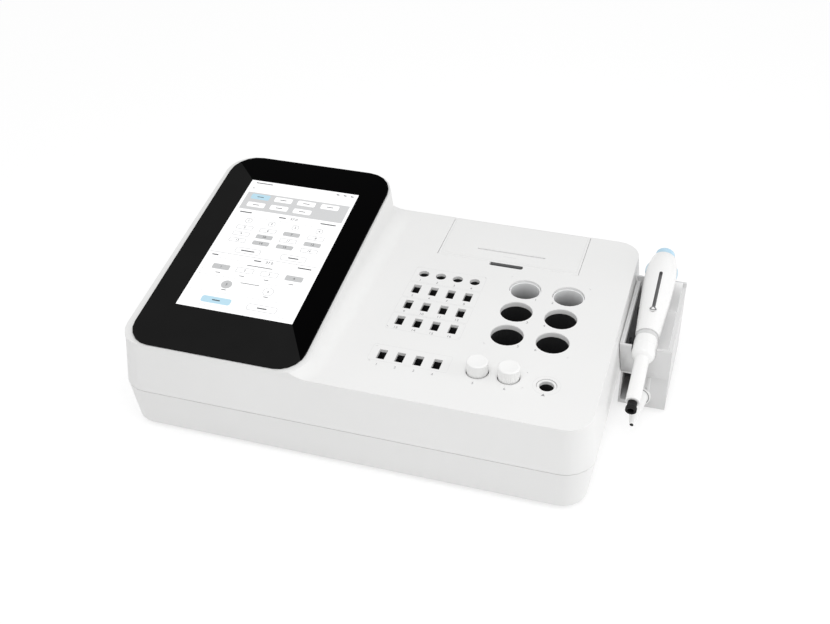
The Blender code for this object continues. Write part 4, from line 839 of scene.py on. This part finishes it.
def make_screen(settings, looks):
    """The cover glass, and what the display shows: two rows of keys, a table of 16 wells with its
    temperature, the four test channels, the two capped bores, and two keys at the bottom."""
    work = merged("screen_glass")
    soften(work, 0.45, lambda x, y, z, edge: z > head_top(y) - 0.3, 3)
    dressed("cover_glass_plate", work, looks["glass_black"], ROOT, ("screen_glass",))

    def shown(name, parts, lift, look):
        printed(name, parts, on_glass, lift, looks[look], ROOT)

    # Shares across and down, then sizes of keys: width, height and corner radius
    tabs = (0.163, 0.378, 0.592, 0.808)
    tab_rows = (0.121, 0.182)
    wells = (0.184, 0.396, 0.611, 0.828)
    balls, *well_rows = (0.305, 0.358, 0.407, 0.456)
    well_keys = 0.527
    test_row = 0.672
    caps = ((0.314, 0.796), (0.68, 0.798))
    bottom = ((0.304, 0.925), (0.7, 0.928))
    well_key = (16.0, 5.4, 1.2)
    test_key = (16.4, 6.4, 1.2)
    wide_key = (24.0, 7.4, 2.2)
    bottom_key = (27.5, 7.6, 2.2)
    tab_key = (17.6, 6.6, 1.4)
    grey_wells = ((2, 0), (1, 1), (3, 1), (1, 2), (2, 2))
    white_wells = ((0, 0), (0, 1), (0, 2), (1, 0), (3, 0), (2, 1), (3, 2))

    half = SCREEN_SIZE[0] / 2
    field = rounded(SCREEN_MIDDLE - half, SCREEN_MIDDLE + half,
                    SCREEN_FRONT, SCREEN_FRONT + SCREEN_SIZE[1], 0.4)
    shown("screen_field", [sheet_of(field)], 0.05, "screen")
    x0, y1 = screen_place(0.03, 0.092)
    x1, y0 = screen_place(0.975, 0.222)
    shown("screen_band", [sheet_of(rounded(x0, x1, y0, y1, 0.8))], 0.08, "screen_band")
    white = [key_top(x, tab_rows[0], *tab_key) for x in tabs[1:]]
    white += [key_top(x, tab_rows[1], *tab_key) for x in tabs[:3]]
    shown("screen_keys", white, 0.11, "screen")
    blue = [key_top(tabs[0], tab_rows[0], 18.4, 7.2, 1.4), key_top(*bottom[0], *bottom_key)]
    shown("screen_blue_keys", blue, 0.11, "screen_blue")
    grey = [key_top(wells[column], well_rows[row], *well_key) for column, row in grey_wells]
    grey += [key_top(wells[0], test_row, *test_key), key_top(wells[3], test_row, *test_key)]
    grey.append(sheet_of(disc(*screen_place(*caps[0]), 5.0)))
    shown("screen_grey_keys", grey, 0.09, "screen_grey")

    lines = [rule(0.276), rule(0.565, 0.0, 1.0), rule(0.607), rule(0.742), rule(0.865, 0.0, 1.0),
             rule(0.97, 0.0, 1.0)]
    lines += [keyline(wells[column], well_rows[row], *well_key) for column, row in white_wells]
    lines += [keyline(0.327, well_keys, *wide_key), keyline(0.733, well_keys, *wide_key)]
    lines += [keyline(wells[1], test_row, *test_key), keyline(wells[2], test_row, *test_key)]
    lines += [ring(x, balls, 3.4) for x in wells]
    lines += [ring(*caps[1], 5.0), keyline(*bottom[1], *bottom_key)]
    lines += [keyline(0.5, 0.69, 100.0, 21.0, 1.5, 0.25), keyline(0.5, 0.425, 104.0, 49.0, 1.5, 0.25)]
    shown("screen_lines", lines, 0.07, "screen_line")

    ink = [dash(0.13, 0.018, 17.0, 1.0), dash(0.055, 0.06, 1.6, 0.8)]
    ink += [dash(x, 0.02, 3.0, 1.2) for x in (0.82, 0.885, 0.95)]
    ink += [dash(x, tab_rows[0], 6.5, 0.8) for x in tabs]
    ink += [dash(x, tab_rows[1], 6.5, 0.8) for x in tabs[:3]]
    headings = ((0.246, 0.248, 0.115, 12.0, 15.0), (0.588, 0.588, 0.075, 6.0, 13.0))
    for outer, inner, place, width, last in headings:
        ink += [dash(place, outer, width), dash(0.455, inner, 7.0), number("37.0", 0.56, inner, 4.2),
                dash(0.87, outer, last)]
    for row, share in enumerate((balls, *well_rows)):
        ink += [number(str(4 * row + column + 1), x, share) for column, x in enumerate(wells)]
    ink += [dash(0.327, well_keys, 13.0), dash(0.733, well_keys, 10.0)]
    ink += [dash(0.5, 0.63, 24.0, 0.6), dash(0.5, 0.766, 18.0, 0.6)]
    ink += [number(str(column + 1), x, test_row) for column, x in enumerate(wells)]
    ink += [dash(x, 0.717, 4.5, 0.7) for x in wells]
    ink += [number("5", *caps[0]), number("6", *caps[1])]
    ink += [dash(0.314, 0.838, 4.5, 0.7), dash(0.68, 0.84, 4.5, 0.7)]
    ink += [dash(*bottom[0], 7.5), dash(*bottom[1], 9.0)]
    shown("screen_writing", ink, 0.14, "screen_ink")


# ---------------------------------------------------------------- marks on the deck

def make_marks(settings, looks):
    """The thin frames and rings printed round the wells and bores, and their numbers."""
    size = settings.digit_height
    line = 0.22
    corner = 1.6
    frames = []
    for y, side, below, above in ((BALL_Y, 9.2, 13.2, 9.3), *((y, 9.2, 13.2, 9.5) for y in WELL_Y),
                                  (TEST_Y, 10.4, 8.8, 12.4)):
        frames.append(frame_line(WELL_X[0] - side, WELL_X[-1] + side, y - below, y + above, corner, line))
    for x, y, radius in (*((x, TEST_Y, 10.6) for x in CAPS_X), (*MIXING, 11.4)):
        frames.append(band_of(disc(x, y, radius, 48), disc(x, y, radius - line, 48)))
    printed("deck_lines", frames, on_deck, 0.05, looks["pale_ink"], ROOT)

    marks = []
    for column, x in enumerate(WELL_X):
        marks.append(digits(str(column + 1), x - 0.6, BALL_Y - 10.4, size))
        for row, y in enumerate(WELL_Y):
            marks.append(digits(str(5 + 4 * row + column), x - 0.6, y - 10.6, size))
        marks.append(digits(str(column + 1), x - 0.3, TEST_Y - 13.4, size))
    for column, x in enumerate(CAPS_X):
        marks.append(digits(str(5 + column), x, TEST_Y - 15.0, size))
    for row, y in enumerate(BORE_Y):
        marks.append(digits(str(2 * row + 1), BORE_X[0] + 12.2, y - 12.6, size))
        marks.append(digits(str(2 * row + 2), BORE_X[1] - 11.6, y - 13.2, size))
    arrow = np.array(((-1.6, -1.3), (1.6, -1.3), (0.0, 1.7))) + MIXING_ARROW
    marks.append(sheet_of(arrow))
    printed("deck_numbers", marks, on_deck, 0.06, looks["ink"], ROOT)


def make_openings(settings, looks):
    """Pieces seen in the deck's openings: a dark sheet of painted shade in the finger slot, sleeves in the
    bores, the mixing ring.
    """
    # Painted shade: a dark grey sheet at the back of the finger slot.
    points, faces = block((71.2, 69.62, UNDER_DECK + 0.1), (101.8, 69.78, DECK - 0.25))
    solid("finger_slot_painted_shade", points, faces, looks["slot"], ROOT)
    inner, outer, low, top = 13.95, 14.15, 81.5, DECK - 0.5
    sleeve = ((inner, low), (outer, low), (outer, top), (inner, top), (inner, low))
    for row, y in enumerate(BORE_Y[1:], 2):
        for side, x in zip(("left", "right"), BORE_X):
            points, faces = lathe(sleeve, 72)
            solid(f"bore_sleeve_{side}_{row}", points + (x, y, 0.0), faces, looks["matte_white"], ROOT)
    inner, outer, shelf, low, top = 6.05, 6.25, 8.05, 82.3, DECK - 0.72
    ledge = ((inner, low), (outer, low), (outer, top), (shelf, top), (shelf, top + 0.06), (6.3, top + 0.06),
             (inner, top - 0.2), (inner, low))
    points, faces = lathe(ledge, 64)
    solid("mixing_ring", points + (*MIXING, 0.0), faces, looks["matte_white"], ROOT)


# ---------------------------------------------------------------- caps and cups

def make_caps(settings, looks):
    """The two ribbed caps with their plugs, and the two reagent cups."""
    ribs = settings.cap_ribs
    radius, round_off = 8.95, 1.3
    seat = 83.2
    top = DECK + 11.4
    crown = quarter_arc(radius - round_off, top - round_off, round_off, 7)
    wall = np.column_stack((np.full(8, radius), np.linspace(DECK + 1.0, top - 1.6, 8)))
    profile = np.vstack((
        ((0.0, seat - 14.0), (6.4, seat - 14.0), (7.2, seat - 13.0), (7.2, seat), (8.6, seat),
         (8.6, DECK + 0.5)),
        wall, crown, ((6.6, top - 0.12), (5.9, top - 0.3), (0.0, top - 0.3)),
    ))
    points, faces = lathe(profile, ribs * 8, ribs, 0.42, (DECK + 0.9, top - 1.5))
    for side, x in zip(("left", "right"), CAPS_X):
        solid(f"cap_{side}", points + (x, TEST_Y, 0.0), faces, looks["cap_white"], f"cap_{side}",
              (f"well_cap_{side}",))
    for side in ("left", "right"):
        work = merged(f"reagent_cup_{side}")
        soften(work, 0.45, lambda x, y, z, edge: z > 80, 2)
        dressed(f"cup_{side}", work, looks["cup_white"], f"cup_{side}",
                (f"reagent_cup_{side}",))


# ---------------------------------------------------------------- printer

def make_lid(settings, looks):
    """The printer's lid with its raised pad round the paper slit."""
    work = merged("printer_lid")
    soften(work, 0.5, lambda x, y, z, edge: abs(z - DECK) < 0.02, 3)
    dressed("paper_lid", work, looks["matte_white"], "lid", ("printer_lid",))
    low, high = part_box("printer_lid")
    left, right = low[0] / MM - SHIFT, high[0] / MM - SHIFT
    front, back = low[1] / MM + 4.2, high[1] / MM - 1.6
    middle, slit_y, mark_y = 86.5, 87.8, 80.4
    pad = band_of(rounded(left + 5.0, right - 3.6, front, back, 4.0, 8),
                  rounded(middle - 31.9, middle + 31.9, slit_y - 1.1, slit_y + 1.1, 1.0, 8))
    printed("lid_pad", [pad], on_deck, 0.16, looks["matte_white"], "lid", 0.16)
    rim = frame_line(left + 2.0, right - 2.0, front - 2.0, back + 0.8, 3.0, 0.25)
    printed("lid_rim", [rim], on_deck, 0.05, looks["pale_ink"], "lid")
    mark = rounded(middle - 6, middle + 6, mark_y - 0.3, mark_y + 0.3, 0.25, 3)
    printed("lid_mark", [sheet_of(mark)], on_deck, 0.2, looks["pale_ink"], "lid")


# ---------------------------------------------------------------- holder, pipette and tip

def make_holder(settings, looks):
    """The holder's tray, a dark sheet of painted shade on its floor and left wall, and a bead under its
    front.
    """
    work = merged("holder_bracket")
    soften(work, 0.7, lambda x, y, z, edge: edge.calc_length() > 0.002, 3, 50.0)
    dressed("pipette_holder", work, looks["holder_grey"], ROOT, ("holder_bracket",))

    # Painted shade: a dark sheet on the floor left of the pipette and on the left wall.
    wall = 205.5 + 3.6
    floor, top = 44.15, 68.0
    middle = PIPETTE_START[0] + 1.0
    lean = CASE_LEAN * (top - floor)
    shape = np.array((
        (wall + 0.2, floor), (middle, floor), (middle, floor + 0.25),
        (wall + 0.5, floor + 0.25), (wall + 0.5 - lean, top), (wall + 0.15 - lean, top),
    ))
    count = len(shape)
    ends = [np.column_stack((shape[:, 0], np.full(count, y), shape[:, 1])) for y in (3.2, 94.8)]
    faces = grid_faces(2, count).tolist() + [list(range(count)), list(range(count, 2 * count))]
    solid("holder_painted_shade", np.vstack(ends), faces, looks["dark"], ROOT)

    radius, low, high = 1.9, 10.9, 38.0
    turn = np.linspace(0, pi / 2, 6)
    bead = np.vstack(((0.0, low - radius),
                      np.column_stack((radius * np.sin(turn), low - radius * np.cos(turn))),
                      quarter_arc(0.0, high, radius, 6)))
    points, faces = lathe(bead, 32)
    solid("holder_bead", points + (230.0, 3.4, 0.0), faces, looks["holder_grey"], ROOT)


def smooth_profile(stations, count=56, passes=3):
    """Stations of (place, radius) read at even steps and averaged with their neighbours."""
    stations = np.asarray(stations, float)
    places = np.linspace(stations[0, 0], stations[-1, 0], count)
    radii = np.interp(places, stations[:, 0], stations[:, 1])
    for _ in range(passes):
        radii[1:-1] = (radii[:-2] + 2 * radii[1:-1] + radii[2:]) / 4
    return np.column_stack((radii, places))


def make_barrel(looks):
    """The pipette's barrel, with the slider's slot and the wheel's pocket cut into it."""
    outer = smooth_profile((
        (84.4, 10.35), (92, 10.8), (104, 11.5), (116, 12.2), (128, 12.9), (140, 13.5), (152, 13.8),
        (160, 13.7), (166, 13.2), (171, 12.6), (175, 11.8), (178, 11.0), (179.6, 10.4)))
    profile = np.vstack((
        ((0.0, 73.6), (5.5, 73.6), (5.5, BARREL_START), (9.9, BARREL_START)), outer,
        ((10.0, 180.0), (9.2, 180.0), (8.9, 179.6), (8.9, 171.2), (0.0, 171.2)),
    ))
    points, faces = lathe(profile, 96)
    barrel = solid("barrel", on_pipette(points), faces, looks["pipette_white"], "pipette",
                   ("pipette_barrel",))
    above, below = 6.0, -3.4
    flat = rounded(-1.45, 1.45, 0.0, 48.0, 1.4, 6)
    count = len(flat)
    points = np.vstack((on_slot(flat, above), on_slot(flat, below)))
    faces = grid_faces(2, count).tolist() + [list(range(count)), list(range(count, 2 * count))]
    # The cut walls take the slot's dark grey: painted shade in the slot and the wheel's pocket.
    slot = cutter("slot_tool", on_pipette(points), faces, looks["slot"])
    points, faces = drum(15.3, 2.8)
    pocket = cutter("pocket_tool", on_pipette(across_pipette(points, WHEEL_AT)), faces, looks["slot"])
    carve(barrel, [slot, pocket])


def make_wheel(looks):
    """The volume wheel, with fine ribs round its rim."""
    radius, round_off = 13.7, 0.9
    edge = quarter_arc(radius, 1.6, round_off)
    profile = np.vstack((((0.0, -2.5), (radius, -2.5)), edge[::-1][1:] * (1, -1), edge,
                         ((13.0, 2.5), (12.4, 2.2), (0.0, 2.2))))
    points, faces = lathe(profile, 400, 50, 0.3, (-2.3, 2.3))
    solid("setting_wheel", on_pipette(across_pipette(points, WHEEL_AT)), faces, looks["pale_blue"], "wheel",
          ("volume_wheel",))


def make_push_button(looks):
    """The push button, with room for the wheel when it is pressed."""
    press = 5.0
    profile = np.vstack((
        ((0.0, 176.5), (5.0, 176.5), (8.3, 178.6), (8.6, 179.0), (8.6, 184.2), (8.2, 184.7), (8.2, 185.0),
         (8.5, 185.4)),
        quarter_arc(7.2, 186.3, 1.3),
        ((5.0, 187.85), (2.5, 187.98), (0.0, 188.0)),
    ))
    points, faces = lathe(profile, 72)
    push = solid("push_button", on_pipette(points), faces, looks["light_blue"], "push_button",
                 ("dispense_button",))
    points, faces = drum(16.2, 3.4)
    room = on_pipette(across_pipette(points, WHEEL_AT + press))
    carve(push, [cutter("button_room", room, faces, looks["light_blue"])])


def make_shaft(looks):
    """The collar with the shaft, the grey ring behind it, and the black seat for the tip."""
    collar = smooth_profile((
        (57.0, 6.1), (57.9, 7.7), (58.8, 8.7), (60.5, 9.4), (63, 9.95), (68, 10), (74, 10), (77, 9.85),
        (79.0, 9.6)), 34, 1)
    groove = ((10.0, 69.4), (9.78, 69.6), (9.78, 69.9), (10.0, 70.1))
    shaft = np.vstack((((0.0, 9.3), (5.6, 9.3), (6.0, 9.8), (6.0, 33.0), (6.05, 56.6)), collar[1:19],
                       groove, collar[21:], ((5.8, 79.0), (5.8, 73.0), (0.0, 73.0))))
    lock_ring = ((5.8, 79.3), (9.1, 79.3), (9.4, 79.6), (9.4, 83.2), (9.15, 83.7), (5.8, 83.7), (5.8, 79.3))
    seat = ((0.0, 4.6), (2.6, 4.6), (2.9, 0.2), (3.3, 0.0), (4.3, 0.0), (4.7, 0.4), (4.7, 3.3), (4.3, 4.1),
            (4.0, 4.6), (4.0, 9.0), (3.0, 9.0), (3.0, 14.7), (0.0, 14.7))
    for name, profile, steps, look, node in (
            ("shaft", shaft, 80, "pipette_white", "pipette_shaft"),
            ("grey_ring", lock_ring, 80, "ring_grey", "lock_ring"),
            ("nozzle_seat", seat, 48, "rubber", "tip_seat")):
        points, faces = lathe(profile, steps)
        solid(name, on_pipette(points), faces, looks[look], "pipette", (node,))


def make_slider(looks):
    """The slider's key, and the dark line drawn round it."""
    work = merged("fill_slider")
    soften(work, 0.3, None, 2)
    dressed("slider_key", work, looks["pipette_white"], "slider", ("fill_slider",))
    outline = np.array(((-2.1, 0.1), (2.1, 0.1), (3.2, 1.5), (0.75, 5.0), (-0.75, 5.0), (-3.2, 1.5)))
    flat, faces = band_of(outline, outline * (0.54, 0.5) + (0.0, 1.05))
    mesh = bpy.data.meshes.new("slider_line")
    mesh.from_pydata(placed(on_pipette(on_slot(flat, 2.02, 0.3))).tolist(), [], faces)
    thicken(finish(mesh, "slider_line", looks["slot"], "slider"), 0.05, 0.0)


def make_pipette(settings, looks):
    """The dispensing pipette, piece by piece."""
    for make in (make_barrel, make_wheel, make_push_button, make_shaft, make_slider):
        make(looks)


def make_tip(settings, looks):
    """The parked tip: a cone with a collar, its orifice, and the line behind its collar."""
    low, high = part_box("dispenser_tip")
    x = (low[0] + high[0]) / 2 / MM - SHIFT
    z = (low[2] + high[2]) / 2 / MM
    front, back = low[1] / MM, high[1] / MM
    base = front + 38.0
    collar = 3.3

    def lying(points):
        """A lathe's points laid along minus y from the socket."""
        return np.column_stack((points[:, 0] + x, -points[:, 2], points[:, 1] + z))

    cone = ((0.0, -back), (9.3, -back), (9.5, -back + 0.3), (9.5, -collar), (10.4, -collar + 0.2),
            (10.4, -base - 0.2), (10.1, -base), (8.7, -base), (8.35, -base + 0.5), (2.05, -front - 0.9),
            (1.95, -front - 0.2), (1.8, -front), (1.6, -front), (1.5, -front - 6.0), (0.0, -front - 6.0))
    orifice = ((0.0, -front - 5.8), (1.55, -front - 5.8), (1.62, -front - 0.25), (0.9, -front - 0.12),
               (0.0, -front - 0.1))
    line = ((8.75, -base - 0.1), (9.15, -base - 0.1), (9.15, -base + 0.35), (8.7, -base + 0.35),
            (8.75, -base - 0.1))
    for name, profile, steps, look, slot, nodes in (
            ("parked_tip", cone, 64, "pipette_white", "pipette_white", ("dispenser_tip",)),
            ("tip_orifice", orifice, 32, "rubber", "rubber", ()),
            ("tip_ring_line", line, 64, "slot", "rubber", ())):
        points, faces = lathe(profile, steps)
        solid(name, lying(points), faces, looks[look], "tip", nodes)


# ---------------------------------------------------------------- the other CAD nodes

def dress_nodes(settings, looks):
    """Every CAD node gets the finish of its material slot. The holder's screws are blackened."""
    for row in frame["record"]["subparts"]:
        node = frame["nodes"][row["node"]]
        look = looks["black" if row["node"].startswith("holder_screw") else row["material_slot"]]
        node.data.materials.clear()
        node.data.materials.append(look)


# ---------------------------------------------------------------- stage

def make_floor(glow):
    """A wide pale floor. Where it is seen or mirrored it is partly plain white."""
    side = 6.0
    mesh = bpy.data.meshes.new("floor")
    corners = [(-side, -side, 0), (side, -side, 0), (side, side, 0), (-side, side, 0)]
    mesh.from_pydata(corners, [], [(0, 1, 2, 3)])
    floor = bpy.data.objects.new("floor", mesh)
    bpy.context.scene.collection.objects.link(floor)
    nodes = MaterialNodes("floor_finish")
    tone = nodes.blend(nodes.spread(nodes.noise(3.0), 0.0, 1.0), (0.9, 0.9, 0.9), (0.91, 0.91, 0.91))
    nodes.set(Base_Color=tone, Roughness=0.9, Specular_IOR_Level=0.0)
    white = nodes.add("ShaderNodeEmission")
    white.inputs["Color"].default_value = (1.0, 1.0, 1.0, 1.0)
    white.inputs["Strength"].default_value = 1.15
    mix = nodes.add("ShaderNodeMixShader")
    share = nodes.math("MULTIPLY", nodes.seen_by("Is Camera Ray", "Is Glossy Ray"), glow)
    nodes.link(share, mix.inputs["Fac"])
    nodes.link(nodes.shader.outputs["BSDF"], mix.inputs[1])
    nodes.link(white.outputs["Emission"], mix.inputs[2])
    nodes.link(mix.outputs["Shader"], nodes.tree.nodes["Material Output"].inputs["Surface"])
    mesh.materials.append(nodes.material)


def make_sky(level):
    """A white world that lights evenly at a level, and looks plain white itself."""
    world = bpy.data.worlds.new("studio")
    bpy.context.scene.world = world
    world.use_nodes = True
    world.node_tree.nodes.clear()
    nodes = Nodes(world.node_tree)
    out = nodes.add("ShaderNodeOutputWorld")
    back = nodes.add("ShaderNodeBackground")
    back.inputs["Color"].default_value = (1.0, 1.0, 1.0, 1.0)
    strength = nodes.add("ShaderNodeMapRange")
    strength.inputs["To Min"].default_value = level
    strength.inputs["To Max"].default_value = 1.0
    nodes.link(nodes.seen_by("Is Camera Ray", "Is Transmission Ray"), strength.inputs["Value"])
    nodes.link(strength.outputs["Result"], back.inputs["Strength"])
    nodes.link(back.outputs["Background"], out.inputs["Surface"])


def make_lamp(name, power, place, direction, upward, **shape):
    """A soft lamp that lights along a direction, unseen by the camera."""
    lamp = bpy.data.lights.new(name, "AREA")
    lamp.energy = power
    for key, value in shape.items():
        setattr(lamp, key, value)
    made = bpy.data.objects.new(name, lamp)
    made.location = place
    made.rotation_euler = Vector(direction).to_track_quat("-Z", upward).to_euler()
    made.visible_camera = False
    bpy.context.scene.collection.objects.link(made)


def make_camera():
    """The camera at the photograph's place, with its focal length given in pixels of its width."""
    focal, width = 1162.96, 830.0
    camera = bpy.data.cameras.new("camera")
    camera.sensor_width = 36.0
    camera.lens = focal * camera.sensor_width / width
    camera.clip_end = 50.0
    right = Vector((0.9543649, 0.2979178, -0.0208))
    forward = Vector((-0.24991, 0.75856, -0.60177)).normalized()
    up = right.cross(forward).normalized()
    right = forward.cross(up).normalized()
    turn = Matrix((right, up, -forward)).transposed().to_4x4()
    turn.translation = Vector(((278.6 + SHIFT) * MM, -0.784, 0.6905))
    made = bpy.data.objects.new("camera", camera)
    made.matrix_world = turn
    bpy.context.scene.collection.objects.link(made)
    bpy.context.scene.camera = made


def make_stage(settings, looks):
    """The floor, the sky, a low lamp on the right, a lamp over the front, and the camera."""
    make_floor(settings.floor_glow)
    make_sky(settings.sky_level)
    make_lamp("side_lamp", settings.side_lamp, (0.86, -0.03, 0.1), (-1.0, 0.0, -0.04), "Z",
              shape="RECTANGLE", size=0.9, size_y=0.22)
    place, aim = Vector((0.1, -0.34, 0.95)), Vector((0.08, -0.12, 0.08))
    make_lamp("front_lamp", settings.front_lamp, place, aim - place, "Y", shape="DISK", size=0.6)
    make_camera()
    bpy.context.scene.view_settings.view_transform = "Standard"


# ---------------------------------------------------------------- add-on

class AnalyzerSettings(bpy.types.PropertyGroup):
    """Sizes, colours and light that a user may change"""
    case_colour: bpy.props.FloatVectorProperty(
        name="Case colour", description="Colour of the white case", subtype="COLOR", size=3,
        min=0.0, max=1.0, default=(0.855, 0.855, 0.85))
    holder_colour: bpy.props.FloatVectorProperty(
        name="Holder colour", description="Colour of the pipette's holder", subtype="COLOR", size=3,
        min=0.0, max=1.0, default=(0.72, 0.72, 0.72))
    accent_colour: bpy.props.FloatVectorProperty(
        name="Accent colour", description="Colour of the pipette's push button", subtype="COLOR",
        size=3, min=0.0, max=1.0, default=(0.5, 0.72, 0.86))
    edge_radius: bpy.props.FloatProperty(
        name="Deck edge", description="Radius of the deck's outer edge in millimetres", default=2.4,
        min=0.2, max=4.0)
    digit_height: bpy.props.FloatProperty(
        name="Number height", description="Height of the printed numbers in millimetres", default=4.0,
        min=1.0, max=6.0)
    cap_ribs: bpy.props.IntProperty(
        name="Cap ribs", description="Number of ribs round a cap", default=34, min=8, max=80)
    sky_level: bpy.props.FloatProperty(
        name="Sky level", description="Even light from all round", default=0.74, min=0.0, max=2.0)
    side_lamp: bpy.props.FloatProperty(
        name="Side lamp", description="Power of the low soft lamp on the right, in watts", default=2.1,
        min=0.0, max=50.0)
    front_lamp: bpy.props.FloatProperty(
        name="Front lamp", description="Power of the soft lamp over the front, in watts", default=2.5,
        min=0.0, max=50.0)
    floor_glow: bpy.props.FloatProperty(
        name="Floor glow", description="Share of plain white in the seen floor", default=0.62,
        min=0.0, max=1.0, subtype="FACTOR")


class AnalyzerStep:
    """One step that makes a group of pieces. Its maker takes the settings and the finishes."""
    bl_options = {"REGISTER", "UNDO"}
    maker = None

    def execute(self, context):
        settings = context.scene.analyzer_settings
        type(self).maker(settings, finishes(settings))
        return {"FINISHED"}


class ANALYZER_OT_nodes(AnalyzerStep, bpy.types.Operator):
    """Give every CAD node the finish of its material slot"""
    bl_idname = "analyzer.nodes"
    bl_label = "Dress Nodes"
    maker = staticmethod(dress_nodes)


class ANALYZER_OT_case(AnalyzerStep, bpy.types.Operator):
    """Make the upper and lower case"""
    bl_idname = "analyzer.case"
    bl_label = "Make Case"
    maker = staticmethod(make_case)


class ANALYZER_OT_screen(AnalyzerStep, bpy.types.Operator):
    """Make the cover glass and what the screen shows"""
    bl_idname = "analyzer.screen"
    bl_label = "Make Screen"
    maker = staticmethod(make_screen)


class ANALYZER_OT_marks(AnalyzerStep, bpy.types.Operator):
    """Print the lines and numbers on the deck"""
    bl_idname = "analyzer.marks"
    bl_label = "Print Marks"
    maker = staticmethod(make_marks)


class ANALYZER_OT_openings(AnalyzerStep, bpy.types.Operator):
    """Line the bores and the mixing well, and put painted shade in the finger slot"""
    bl_idname = "analyzer.openings"
    bl_label = "Line Openings"
    maker = staticmethod(make_openings)


class ANALYZER_OT_caps(AnalyzerStep, bpy.types.Operator):
    """Make the ribbed caps and the reagent cups"""
    bl_idname = "analyzer.caps"
    bl_label = "Make Caps and Cups"
    maker = staticmethod(make_caps)


class ANALYZER_OT_lid(AnalyzerStep, bpy.types.Operator):
    """Make the printer's lid"""
    bl_idname = "analyzer.lid"
    bl_label = "Make Printer Lid"
    maker = staticmethod(make_lid)


class ANALYZER_OT_holder(AnalyzerStep, bpy.types.Operator):
    """Make the pipette's holder"""
    bl_idname = "analyzer.holder"
    bl_label = "Make Holder"
    maker = staticmethod(make_holder)


class ANALYZER_OT_pipette(AnalyzerStep, bpy.types.Operator):
    """Make the pipette with its button, wheel and slider"""
    bl_idname = "analyzer.pipette"
    bl_label = "Make Pipette"
    maker = staticmethod(make_pipette)


class ANALYZER_OT_tip(AnalyzerStep, bpy.types.Operator):
    """Make the parked tip"""
    bl_idname = "analyzer.tip"
    bl_label = "Make Tip"
    maker = staticmethod(make_tip)


class ANALYZER_OT_stage(AnalyzerStep, bpy.types.Operator):
    """Make the floor, the light and the camera"""
    bl_idname = "analyzer.stage"
    bl_label = "Make Stage"
    maker = staticmethod(make_stage)


STEPS = (
    ANALYZER_OT_nodes, ANALYZER_OT_case, ANALYZER_OT_screen, ANALYZER_OT_marks, ANALYZER_OT_openings,
    ANALYZER_OT_caps, ANALYZER_OT_lid, ANALYZER_OT_holder, ANALYZER_OT_pipette, ANALYZER_OT_tip,
    ANALYZER_OT_stage,
)


class ANALYZER_PT_panel(bpy.types.Panel):
    """Lists the settings and the steps"""
    bl_idname = "ANALYZER_PT_panel"
    bl_label = "Coagulation Analyzer"
    bl_space_type = "VIEW_3D"
    bl_region_type = "UI"
    bl_category = "Analyzer"

    def draw(self, context):
        settings = context.scene.analyzer_settings
        for key in AnalyzerSettings.__annotations__:
            self.layout.prop(settings, key)
        for step in STEPS:
            self.layout.operator(step.bl_idname)


CLASSES = (AnalyzerSettings, *STEPS, ANALYZER_PT_panel)


def register():
    """Adds the classes and the scene's settings."""
    for item in CLASSES:
        bpy.utils.register_class(item)
    bpy.types.Scene.analyzer_settings = bpy.props.PointerProperty(type=AnalyzerSettings)


def unregister():
    """Takes them out again."""
    del bpy.types.Scene.analyzer_settings
    for item in reversed(CLASSES):
        bpy.utils.unregister_class(item)


def main():
    """Runs every step in order."""
    register()
    for step in STEPS:
        group, name = step.bl_idname.split(".")
        getattr(getattr(bpy.ops, group), name)()


if __name__ == "__main__":
    main()
